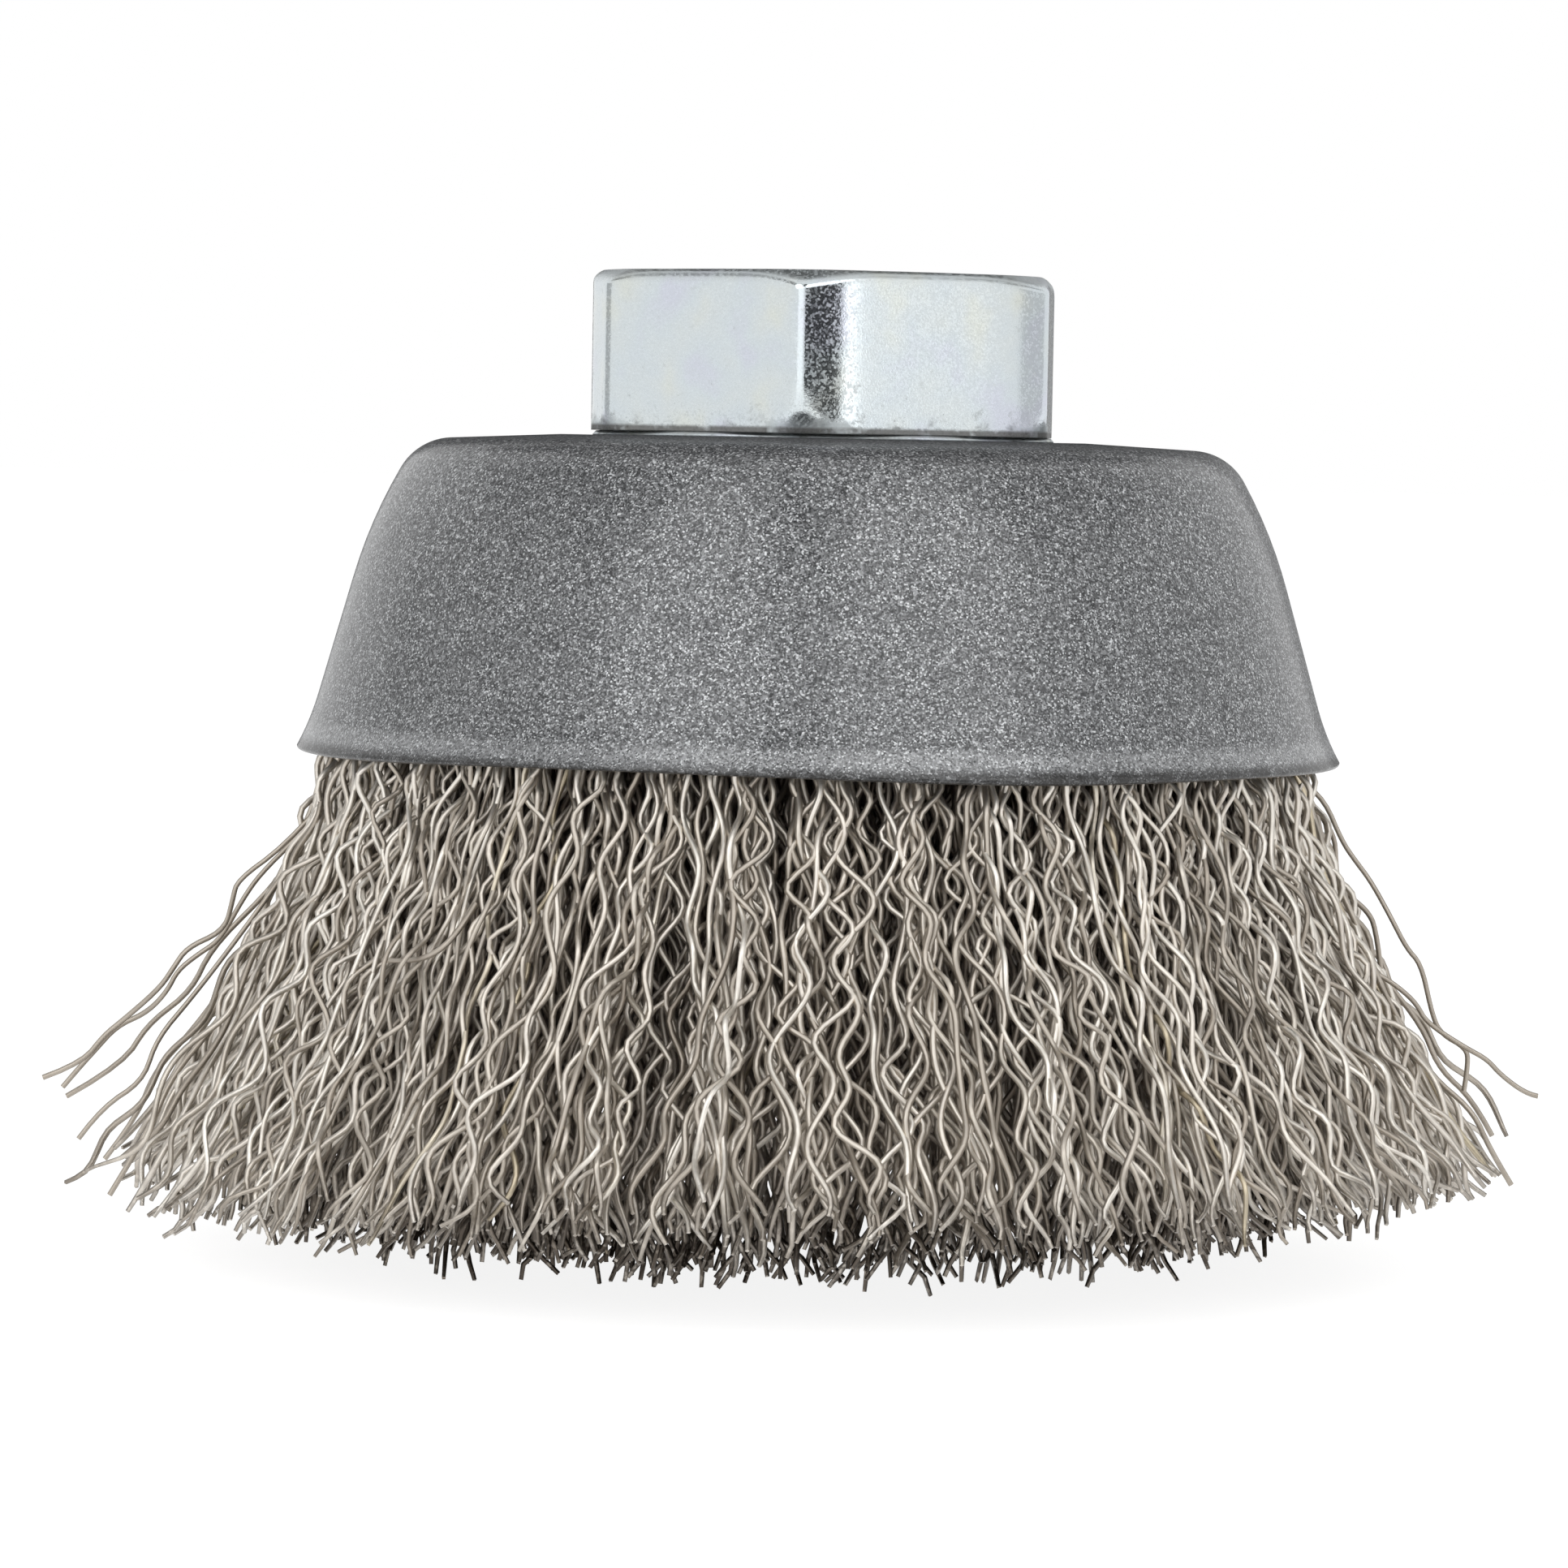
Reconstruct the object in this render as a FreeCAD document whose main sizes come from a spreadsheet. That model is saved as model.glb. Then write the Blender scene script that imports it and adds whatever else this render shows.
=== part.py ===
import FreeCAD, Part
import math
import os

import Sketcher

# Wire cup brush with crimped wires and a threaded hexagon nut, in millimetres.
# It stands on its wire tips with the nut up. The axis is Z, and the lowest tips are at Z = 0.

# Driving sizes

SIZES = {
    # Hexagon nut with a collar, and a spigot that goes down through the cup and is swaged over
    "nut_across_flats": 24.0,
    "nut_height": 8.4,
    "nut_corner_diameter": 27.0,
    "nut_face_diameter": 22.8,
    "nut_chamfer_angle": 30.0,
    "collar_diameter": 23.6,
    "collar_height": 0.25,
    "thread_diameter": 14.0,
    "thread_pitch": 2.0,
    "thread_mouth": 0.6,
    "spigot_diameter": 19.0,
    "swage_overhang": 1.4,
    "swage_height": 1.2,
    "fit_clearance": 0.1,
    # Pressed cup
    "cup_depth": 17.0,
    "cup_rim_diameter": 55.5,
    "cup_wall": 1.0,
    "cup_seat_diameter": 27.4,
    "cup_crown_slope": 2.7,
    "cup_shoulder_radius": 3.2,
    "cup_join_angle": 29.6,
    "cup_flank_radius": 26.0,
    "cup_cone_angle": 15.8,
    "cup_flare_radius": 15.5,
    "cup_flare_height": 3.05,
    "cup_rim_rounding": 0.4,
    # Holding ring and inner plate
    "ring_wire": 2.6,
    "plate_wall": 1.2,
    "plate_height": 5.0,
    "plate_flat_margin": 0.6,
    "plate_rounding": 1.5,
    # Wires, as locks that are doubled over the holding ring
    "lock_thickness": 0.9,
    "wire_clearance": 0.3,
    "crimp_pitch": 4.7,
    "crimp_height": 1.1,
    "crimp_tilt": 45.0,
    "brush_diameter": 74.0,
    "trim_height": 26.5,
    "trim_rise": 6.0,
}

# A metric internal thread is cut this many pitches deep on the diameter
CORE_CUT = 1.0825
# The wire's bend lies on the ring in flats, each turned this far from the next, in degrees
BEND_STEP = 45.0
# Rows of locks round the ring, which differ in reach
ROWS = 4
# How the legs spread below the rim, and how the trimmed face rises to the outside
SPREAD_POWER = 1.3
TRIM_POWER = 1.7
# A square wire is this much wider than its side where it leans in its crimps
LEANING_WIDTH = 1.25
# The last crimp stays this share of half a pitch above the tip
LAST_CRIMP = 0.4
# Half pitches from the rim to a leg's first crimp, and from one row to the next
FIRST_CRIMP = 0.5
CRIMP_STAGGER = 0.25
# The rim's rounding takes at most this share of the wall from either side
ROUNDING_SHARE = 0.45

doc = FreeCAD.newDocument("wire_cup_brush")
sheet = doc.addObject("Spreadsheet::Sheet", "Sizes")
for row, (name, value) in enumerate(SIZES.items(), start=1):
    sheet.set(f"A{row}", name.replace("_", " "))
    sheet.set(f"B{row}", str(value))
    sheet.setAlias(f"B{row}", name)
doc.recompute()


def size(expression):
    """The value of an expression of driving sizes."""
    value = sheet.evalExpression(expression)
    return float(getattr(value, "Value", value))


# Expressions that more than one sub-part uses

CUP_TOP = "Sizes.trim_height + Sizes.cup_depth"
CORE_DIAMETER = f"Sizes.thread_diameter - {CORE_CUT} * Sizes.thread_pitch"
SPIGOT_HOLE = "Sizes.spigot_diameter + 2 * Sizes.fit_clearance"
CLAMPED = "(Sizes.cup_wall + Sizes.plate_wall)"
# From the ring's centre to the middle of the wire round it, and to the cup that must stay clear
BEND_RADIUS = "(Sizes.ring_wire / 2 + Sizes.wire_clearance + Sizes.lock_thickness / 2)"
BEND_ROOM = f"(({BEND_RADIUS} + Sizes.lock_thickness / 2) / cos({BEND_STEP / 2}) + Sizes.wire_clearance)"


# Helpers for bodies and sketches


def new_body(label):
    body = doc.addObject("PartDesign::Body", label)
    body.Label = label
    return body


def new_sketch(body, name, plane_role):
    """A sketch on one of the body's own origin planes."""
    sketch = body.newObject("Sketcher::SketchObject", name)
    plane = next(item for item in body.Origin.OriginFeatures if item.Role == plane_role)
    sketch.AttachmentSupport = [(plane, "")]
    sketch.MapMode = "FlatFace"
    return sketch


def rule(sketch, kind, *where):
    sketch.addConstraint(Sketcher.Constraint(kind, *where))


def dimension(sketch, name, expression, kind, *where):
    """A named dimension that follows an expression. Angles are in degrees."""
    value = size(expression)
    if kind == "Angle":
        value = math.radians(value)
    index = sketch.addConstraint(Sketcher.Constraint(kind, *where, value))
    sketch.renameConstraint(index, name)
    sketch.setExpression(f"Constraints.{name}", expression)


def line(start, end):
    return Part.LineSegment(FreeCAD.Vector(*start, 0), FreeCAD.Vector(*end, 0))


def circle(centre, radius):
    return Part.Circle(FreeCAD.Vector(*centre, 0), FreeCAD.Vector(0, 0, 1), radius)


def arc(centre, radius, start, end):
    """An arc that runs anticlockwise from one point to another."""
    angles = [math.atan2(y - centre[1], x - centre[0]) for x, y in (start, end)]
    return Part.ArcOfCircle(circle(centre, radius), *angles)


def stepped_profile(sketch, corners):
    """A closed outline whose corners are given as pairs of expressions, each bound to the sketch's origin."""
    points = [tuple(size(value) for value in corner) for corner in corners]
    count = len(points)
    for index in range(count):
        sketch.addGeometry(line(points[index], points[(index + 1) % count]), False)
    for index in range(count):
        rule(sketch, "Coincident", index, 2, (index + 1) % count, 1)
    for index, (across, up) in enumerate(corners):
        if size(across) == 0:
            rule(sketch, "PointOnObject", index, 1, -2)
        else:
            dimension(sketch, f"across_{index}", across, "DistanceX", -1, 1, index, 1)
        if size(up) == 0:
            rule(sketch, "PointOnObject", index, 1, -1)
        else:
            dimension(sketch, f"up_{index}", up, "DistanceY", -1, 1, index, 1)


def full_turn(body, kind, name, sketch):
    """A revolution or groove of a sketch about its own vertical axis."""
    feature = body.newObject(kind, name)
    feature.Profile = sketch
    feature.ReferenceAxis = (sketch, ["V_Axis"])
    feature.Angle = 360.0
    doc.recompute()
    return feature


def edges_where(shape, test):
    """Names of the edges whose middle passes a test."""
    names = []
    for index, edge in enumerate(shape.Edges, start=1):
        middle = edge.valueAt((edge.FirstParameter + edge.LastParameter) / 2)
        if test(math.hypot(middle.x, middle.y), middle.z):
            names.append(f"Edge{index}")
    return names


def near(value, target):
    return abs(value - target) < 1e-4


# Pressed cup


def cup_points():
    """Corners and arc centres of the cup's outside, as (radius, height above the rim)."""
    cone = math.radians(size("cup_cone_angle"))
    join = math.radians(size("cup_join_angle"))
    slope = math.radians(size("cup_crown_slope"))
    flare, flank, shoulder = (size(f"cup_{part}_radius") for part in ("flare", "flank", "shoulder"))
    rim = (size("cup_rim_diameter / 2"), 0.0)
    seat = (size("cup_seat_diameter / 2"), size("cup_depth"))
    # Outward normals of the cone, of the place where shoulder and flank meet, and of the crown
    cone_out = (math.cos(cone), math.sin(cone))
    join_out = (math.cos(join), math.sin(join))
    crown_out = (math.sin(slope), math.cos(slope))

    def dot(a, b):
        return a[0] * b[0] + a[1] * b[1]

    def along(start, step, direction):
        return tuple(s + step * d for s, d in zip(start, direction))

    lip = math.asin(math.sin(cone) + size("cup_flare_height") / flare)
    flare_centre = along(rim, flare, (math.cos(lip), math.sin(lip)))
    cone_foot = along(flare_centre, -flare, cone_out)
    # The shoulder's centre is its radius under the crown, and its flank touches the cone
    to_crown = dot(seat, crown_out) - shoulder
    to_cone = dot(cone_foot, cone_out) - flank + (flank - shoulder) * math.cos(join - cone)
    cross = crown_out[0] * cone_out[1] - crown_out[1] * cone_out[0]
    shoulder_centre = (
        (to_crown * cone_out[1] - to_cone * crown_out[1]) / cross,
        (to_cone * crown_out[0] - to_crown * cone_out[0]) / cross,
    )
    flank_centre = along(shoulder_centre, shoulder - flank, join_out)
    return {
        "rim": rim,
        "seat": seat,
        "flare_centre": flare_centre,
        "cone_foot": cone_foot,
        "cone_top": along(flank_centre, flank, cone_out),
        "flank_centre": flank_centre,
        "shoulder_foot": along(shoulder_centre, shoulder, join_out),
        "shoulder_centre": shoulder_centre,
        "crown_edge": along(shoulder_centre, shoulder, crown_out),
    }


def make_cup():
    """Sheet pressed to a slightly domed crown, a rounded shoulder, a cone and a flared lip."""
    at = cup_points()
    body = new_body("cup")
    sketch = new_sketch(body, "cup_profile", "XZ_Plane")
    top = (0.0, size("cup_depth"))
    flare_radius, flank_radius = size("cup_flare_radius"), size("cup_flank_radius")
    shoulder_radius = size("cup_shoulder_radius")
    outline = (
        line((0.0, 0.0), at["rim"]),
        arc(at["flare_centre"], flare_radius, at["cone_foot"], at["rim"]),
        line(at["cone_foot"], at["cone_top"]),
        arc(at["flank_centre"], flank_radius, at["cone_top"], at["shoulder_foot"]),
        arc(at["shoulder_centre"], shoulder_radius, at["shoulder_foot"], at["crown_edge"]),
        line(at["crown_edge"], at["seat"]),
        line(at["seat"], top),
        line(top, (0.0, 0.0)),
    )
    floor, flare, cone, flank, shoulder, crown, seat, axis = (
        sketch.addGeometry(edge, False) for edge in outline
    )
    rule(sketch, "Coincident", floor, 1, -1, 1)
    rule(sketch, "Horizontal", floor)
    rule(sketch, "Coincident", floor, 2, flare, 2)
    rule(sketch, "Tangent", flare, 1, cone, 1)
    rule(sketch, "Tangent", cone, 2, flank, 1)
    rule(sketch, "Tangent", flank, 2, shoulder, 1)
    rule(sketch, "Tangent", shoulder, 2, crown, 1)
    rule(sketch, "Coincident", crown, 2, seat, 1)
    rule(sketch, "Horizontal", seat)
    rule(sketch, "Coincident", seat, 2, axis, 1)
    rule(sketch, "Vertical", axis)
    rule(sketch, "Coincident", axis, 2, floor, 1)
    dimension(sketch, "rim_radius", "Sizes.cup_rim_diameter / 2", "DistanceX", -1, 1, floor, 2)
    dimension(sketch, "seat_radius", "Sizes.cup_seat_diameter / 2", "DistanceX", -1, 1, crown, 2)
    dimension(sketch, "depth", "Sizes.cup_depth", "DistanceY", -1, 1, seat, 2)
    dimension(sketch, "flare_height", "Sizes.cup_flare_height", "DistanceY", -1, 1, cone, 1)
    dimension(sketch, "flare_radius", "Sizes.cup_flare_radius", "Radius", flare)
    dimension(sketch, "flank_radius", "Sizes.cup_flank_radius", "Radius", flank)
    dimension(sketch, "shoulder_radius", "Sizes.cup_shoulder_radius", "Radius", shoulder)
    dimension(sketch, "cone_angle", "90 + Sizes.cup_cone_angle", "Angle", cone)
    dimension(sketch, "crown_angle", "180 - Sizes.cup_crown_slope", "Angle", crown)
    # The angle at which the shoulder hands over to the flank, on a construction line
    spoke = sketch.addGeometry(line(at["shoulder_centre"], at["shoulder_foot"]), True)
    rule(sketch, "Coincident", spoke, 1, shoulder, 3)
    rule(sketch, "Coincident", spoke, 2, shoulder, 1)
    dimension(sketch, "join_angle", "Sizes.cup_join_angle", "Angle", spoke)
    # Under the shoulder, a construction circle holds the ring and the wires that pass round it
    room = f"Sizes.cup_wall + {BEND_ROOM}"
    guess = tuple(c + (shoulder_radius - size(room)) * 0.7 for c in at["shoulder_centre"])
    nest = sketch.addGeometry(circle(guess, size(room)), True)
    rule(sketch, "Tangent", nest, crown)
    rule(sketch, "Tangent", nest, flank)
    dimension(sketch, "nest_radius", room, "Radius", nest)
    for name, kind in (("ring_radius", "DistanceX"), ("ring_height", "DistanceY")):
        index = sketch.addConstraint(Sketcher.Constraint(kind, -1, 1, nest, 3, 1.0))
        sketch.setDriving(index, False)
        sketch.renameConstraint(index, name)
    blank = full_turn(body, "PartDesign::Revolution", "blank", sketch)

    mouth = max(
        (index for index, face in enumerate(blank.Shape.Faces) if near(face.CenterOfMass.z, 0)),
        key=lambda index: blank.Shape.Faces[index].Area,
    )
    shell = body.newObject("PartDesign::Thickness", "shell")
    shell.Base = (blank, [f"Face{mouth + 1}"])
    shell.Reversed = True
    shell.setExpression("Value", "Sizes.cup_wall")
    doc.recompute()

    hole = new_sketch(body, "spigot_hole_outline", "XY_Plane")
    hole.addGeometry(circle((0, 0), size(SPIGOT_HOLE) / 2), False)
    rule(hole, "Coincident", 0, 3, -1, 1)
    dimension(hole, "hole_diameter", SPIGOT_HOLE, "Diameter", 0)
    pierced = body.newObject("PartDesign::Pocket", "spigot_hole")
    pierced.Profile = hole
    pierced.Type = "ThroughAll"
    pierced.Reversed = True
    doc.recompute()

    rim_edges = edges_where(pierced.Shape, lambda radius, z: near(z, 0))
    rounded = body.newObject("PartDesign::Fillet", "rim_rounding")
    rounded.Base = (pierced, rim_edges)
    rounded.setExpression(
        "Radius", f"min(Sizes.cup_rim_rounding; {ROUNDING_SHARE} * Sizes.cup_wall)"
    )
    body.setExpression("Placement.Base.z", "Sizes.trim_height")
    doc.recompute()
    return body


cup = make_cup()

# Nut with its spigot


def make_nut():
    """A turned and swaged blank with a hexagon, chamfered at 30 degrees, and a threaded bore."""
    body = new_body("arbor_nut")
    turned = new_sketch(body, "turned_profile", "XZ_Plane")
    spigot = "Sizes.spigot_diameter / 2"
    lip = f"{spigot} + Sizes.swage_overhang"
    stepped_profile(
        turned,
        (
            ("0", f"-{CLAMPED} - Sizes.swage_height"),
            (spigot, f"-{CLAMPED} - Sizes.swage_height"),
            (lip, f"-{CLAMPED} - Sizes.swage_height / 2"),
            (lip, f"-{CLAMPED}"),
            (spigot, f"-{CLAMPED}"),
            (spigot, "0"),
            ("Sizes.collar_diameter / 2", "0"),
            ("Sizes.collar_diameter / 2", "Sizes.collar_height"),
            ("0", "Sizes.collar_height"),
        ),
    )
    full_turn(body, "PartDesign::Revolution", "turned_blank", turned)

    hexagon = body.newObject("PartDesign::AdditivePrism", "hexagon")
    hexagon.Polygon = 6
    hexagon.setExpression("Circumradius", "Sizes.nut_across_flats / 2 / cos(30)")
    hexagon.setExpression("Height", "Sizes.nut_height")
    hexagon.setExpression("AttachmentOffset.Base.z", "Sizes.collar_height")
    hexagon.AttachmentOffset.Rotation = FreeCAD.Rotation(30, 0, 0)
    plane = next(item for item in body.Origin.OriginFeatures if item.Role == "XY_Plane")
    hexagon.AttachmentSupport = [(plane, "")]
    hexagon.MapMode = "FlatFace"
    doc.recompute()

    # One cut turns the corners to a round and leans the top chamfer back to the round face
    corners = new_sketch(body, "corner_profile", "XZ_Plane")
    outside = "Sizes.nut_across_flats"
    nut_top = "Sizes.collar_height + Sizes.nut_height"
    chamfer_drop = (
        "(Sizes.nut_corner_diameter - Sizes.nut_face_diameter) / 2 * tan(Sizes.nut_chamfer_angle)"
    )
    stepped_profile(
        corners,
        (
            ("Sizes.nut_face_diameter / 2", nut_top),
            ("Sizes.nut_corner_diameter / 2", f"{nut_top} - {chamfer_drop}"),
            ("Sizes.nut_corner_diameter / 2", "0"),
            (outside, "0"),
            (outside, nut_top),
        ),
    )
    full_turn(body, "PartDesign::Groove", "corner_turning", corners)

    bore_centre = new_sketch(body, "bore_centre", "XY_Plane")
    bore_centre.setExpression("AttachmentOffset.Base.z", nut_top)
    bore_centre.addGeometry(circle((0, 0), size(CORE_DIAMETER) / 2), False)
    rule(bore_centre, "Coincident", 0, 3, -1, 1)
    dimension(bore_centre, "bore_diameter", CORE_DIAMETER, "Diameter", 0)
    doc.recompute()
    bore = body.newObject("PartDesign::Hole", "threaded_bore")
    bore.Profile = bore_centre
    doc.recompute()
    bore.ThreadType = 0
    bore.DepthType = 1
    bore.HoleCutType = "Countersink"
    bore.HoleCutCountersinkAngle = 90
    bore.setExpression("Diameter", CORE_DIAMETER)
    bore.setExpression("HoleCutDiameter", "Sizes.thread_diameter + Sizes.thread_mouth")
    doc.recompute()

    mouth = new_sketch(body, "lower_mouth_profile", "XZ_Plane")
    foot = f"-{CLAMPED} - Sizes.swage_height"
    mouth_radius = "(Sizes.thread_diameter + Sizes.thread_mouth) / 2"
    stepped_profile(
        mouth,
        (
            ("0", foot),
            (mouth_radius, foot),
            ("0", f"{foot} + {mouth_radius}"),
        ),
    )
    full_turn(body, "PartDesign::Groove", "lower_mouth", mouth)
    body.setExpression("Placement.Base.z", CUP_TOP)
    doc.recompute()
    return body


nut = make_nut()

# Holding ring, in the nest that the cup's profile keeps for it

ring = doc.addObject("Part::Torus", "holding_ring")
ring.Label = "holding_ring"
ring.setExpression("Radius1", "cup_profile.Constraints.ring_radius")
ring.setExpression("Radius2", "Sizes.ring_wire / 2")
ring.setExpression(
    "Placement.Base.z", "Sizes.trim_height * 1 mm + cup_profile.Constraints.ring_height"
)
doc.recompute()

# Inner plate


def make_plate():
    """A dished plate, clamped under the cup, whose skirt keeps the wires against the ring."""
    body = new_body("inner_plate")
    sketch = new_sketch(body, "plate_profile", "XZ_Plane")
    hole = f"({SPIGOT_HOLE}) / 2"
    flat = "(Sizes.cup_seat_diameter / 2 - Sizes.plate_flat_margin)"
    wire_room = f"{BEND_RADIUS} + Sizes.lock_thickness / 2 + Sizes.wire_clearance"
    skirt = f"(holding_ring.Radius1 / 1 mm - ({wire_room}))"
    lean = f"atan(({skirt} - {flat}) / Sizes.plate_height)"
    stepped_profile(
        sketch,
        (
            (hole, "0"),
            (flat, "0"),
            (skirt, "-Sizes.plate_height"),
            (f"{skirt} - Sizes.plate_wall / cos({lean})", "-Sizes.plate_height"),
            (f"{flat} - Sizes.plate_wall * tan((90 deg - {lean}) / 2)", "-Sizes.plate_wall"),
            (hole, "-Sizes.plate_wall"),
        ),
    )
    dished = full_turn(body, "PartDesign::Revolution", "dished_plate", sketch)
    bend_edges = edges_where(dished.Shape, lambda radius, z: near(z, 0) and near(radius, size(flat)))
    rounded = body.newObject("PartDesign::Fillet", "outer_bend")
    rounded.Base = (dished, bend_edges)
    rounded.setExpression("Radius", "Sizes.plate_rounding")
    body.setExpression("Placement.Base.z", f"{CUP_TOP} - Sizes.cup_wall")
    doc.recompute()
    return body


plate = make_plate()

# Wires

Vector = FreeCAD.Vector


def leg_line(start, tip):
    """The middle line of one leg below the rim, as a function of the height."""
    fall = start[1] - tip[1]

    def radius_at(height):
        share = (start[1] - height) / fall
        return start[0] + (tip[0] - start[0]) * share**SPREAD_POWER

    return radius_at


def crimped_leg(start, tip, phase, side):
    """Corners of one leg from just under the rim to its tip, as (radius, sideways, height)."""
    radius_at = leg_line(start, tip)
    half_pitch = size("crimp_pitch / 2")
    tilt = math.radians(side * size("crimp_tilt"))
    height = start[1] - half_pitch * phase
    swing = size("crimp_height / 2")
    corners = []
    while height > tip[1] + half_pitch * LAST_CRIMP:
        slope = (radius_at(height - 0.01) - radius_at(height + 0.01)) / 0.02
        run = math.hypot(1.0, slope)
        outward = swing * math.cos(tilt)
        corners.append(
            Vector(
                radius_at(height) + outward / run,
                swing * math.sin(tilt),
                height + outward * slope / run,
            )
        )
        swing = -swing
        height -= half_pitch / run
    corners.append(Vector(tip[0], 0.0, tip[1]))
    return corners


def lock_path(row):
    """Corners of one lock from the tip of its inner leg, over the ring, to the tip of its outer leg."""
    ring_at = (ring.Radius1.Value, ring.Placement.Base.z)
    bend = size(BEND_RADIUS)
    rim = size("trim_height")
    at = cup_points()
    # The outer leg leaves the cup along its inside, the inner leg hangs straight from the ring
    wall_side = size("cup_wall + wire_clearance + lock_thickness / 2")
    cone = math.radians(size("cup_cone_angle"))
    outer_start = (
        at["cone_foot"][0] - wall_side / math.cos(cone) + at["cone_foot"][1] * math.tan(cone),
        rim,
    )
    inner_start = (ring_at[0] - bend, rim)
    # Tips share the trimmed face evenly
    innermost = inner_start[0]
    outermost = size("(brush_diameter - lock_thickness) / 2")

    def tip(place):
        share = place / (2 * ROWS - 1)
        radius = math.sqrt(innermost**2 + share * (outermost**2 - innermost**2))
        rise = ((radius - innermost) / (outermost - innermost)) ** TRIM_POWER
        return radius, size("trim_rise") * rise

    # The inner legs' crimps come lower from row to row, the outer legs' half as much higher
    inner_phase = FIRST_CRIMP + CRIMP_STAGGER * row
    outer_phase = 2 * FIRST_CRIMP - CRIMP_STAGGER * row / 2
    side = 1 if row % 2 else -1
    inner_leg = crimped_leg(inner_start, tip(row), inner_phase, side)
    outer_leg = crimped_leg(outer_start, tip(2 * ROWS - 1 - row), outer_phase, -side)
    reach = bend / math.cos(math.radians(BEND_STEP / 2))
    over_ring = []
    for turn in (3.5, 2.5, 1.5, 0.5):
        angle = math.radians(BEND_STEP * turn)
        over_ring.append(
            Vector(ring_at[0] + reach * math.cos(angle), 0.0, ring_at[1] + reach * math.sin(angle))
        )
    inner_rim = Vector(inner_start[0], 0.0, inner_start[1])
    outer_rim = Vector(outer_start[0], 0.0, outer_start[1])
    return inner_leg[::-1] + [inner_rim] + over_ring + [outer_rim] + outer_leg


def square_wire(path, thickness):
    """A solid of square section with mitred corners and level ends along a path."""
    steps = [(b - a).normalize() for a, b in zip(path, path[1:])]
    side = (Vector(0, 1, 0) - steps[0] * steps[0].y).normalize()
    across = steps[0].cross(side)
    section = [
        path[0] + (side * i + across * j) * (thickness / 2)
        for i, j in ((-1, -1), (1, -1), (1, 1), (-1, 1))
    ]
    level = Vector(0, 0, 1)
    mitres = [level] + [(a + b).normalize() for a, b in zip(steps, steps[1:])] + [level]
    travel = [steps[0]] + steps
    sections = []
    for corner, mitre, step in zip(path, mitres, travel):
        section = [p + step * ((corner - p).dot(mitre) / step.dot(mitre)) for p in section]
        sections.append(section)
    faces = [Part.Face(Part.makePolygon(end + end[:1])) for end in (sections[0], sections[-1])]
    for here, after in zip(sections, sections[1:]):
        for i in range(len(here)):
            k = (i + 1) % len(here)
            quad = [here[i], here[k], after[k], after[i], here[i]]
            faces.append(Part.Face(Part.makePolygon(quad)))
    solid = Part.Solid(Part.Shell(faces))
    return solid if solid.Volume > 0 else solid.reversed()


def make_wires():
    """Locks side by side round the ring, as many as fit. Each row has every fourth one."""
    innermost = ring.Radius1.Value - size(BEND_RADIUS)
    sway = "crimp_height * sin(crimp_tilt)"
    slot = size(f"{LEANING_WIDTH} * lock_thickness + {sway} + wire_clearance")
    per_row = int(2 * math.pi * innermost / slot) // ROWS
    rows = []
    for row, word in enumerate(("first", "second", "third", "fourth")):
        lock = square_wire(lock_path(row), size("lock_thickness"))
        copies = []
        for index in range(per_row):
            copy = lock.copy()
            turn = 360.0 * (index + row / ROWS) / per_row
            copy.rotate(Vector(0, 0, 0), Vector(0, 0, 1), turn)
            copies.append(copy)
        wires = doc.addObject("Part::Feature", f"wires_{word}_row")
        wires.Label = f"wires_{word}_row"
        wires.Shape = Part.makeCompound(copies)
        wires.Placement = FreeCAD.Placement()
        rows.append(wires)
    return rows


wire_rows = make_wires()
doc.recompute()

# Checks and files

parts = [cup, nut, ring, plate] + wire_rows
for item in doc.Objects:
    if "Invalid" in item.State or "Error" in item.State:
        raise RuntimeError(f"{item.Name} failed: {item.State}")
for part in parts:
    if part.Shape.isNull() or not part.Shape.isValid():
        raise RuntimeError(f"{part.Label} has no valid shape")

os.makedirs("parts", exist_ok=True)
for part in parts:
    part.Shape.exportStep(f"parts/{part.Label}.step")
    print(part.Label, len(part.Shape.Solids), "solids", round(part.Shape.Volume), "cubic millimetres")
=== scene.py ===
# %% [markdown]
# A wire cup brush is dressed here for its picture. It is a steel cup that holds a crown of crimped
# wires, driven through a threaded hexagon nut. The solids are loaded first, because every piece
# below goes where they are. All lengths are metres, and the brush stands on its wire tips at height 0.

# %% The solids
import math

import bmesh
import bpy
from mathutils import Matrix, Vector


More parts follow.
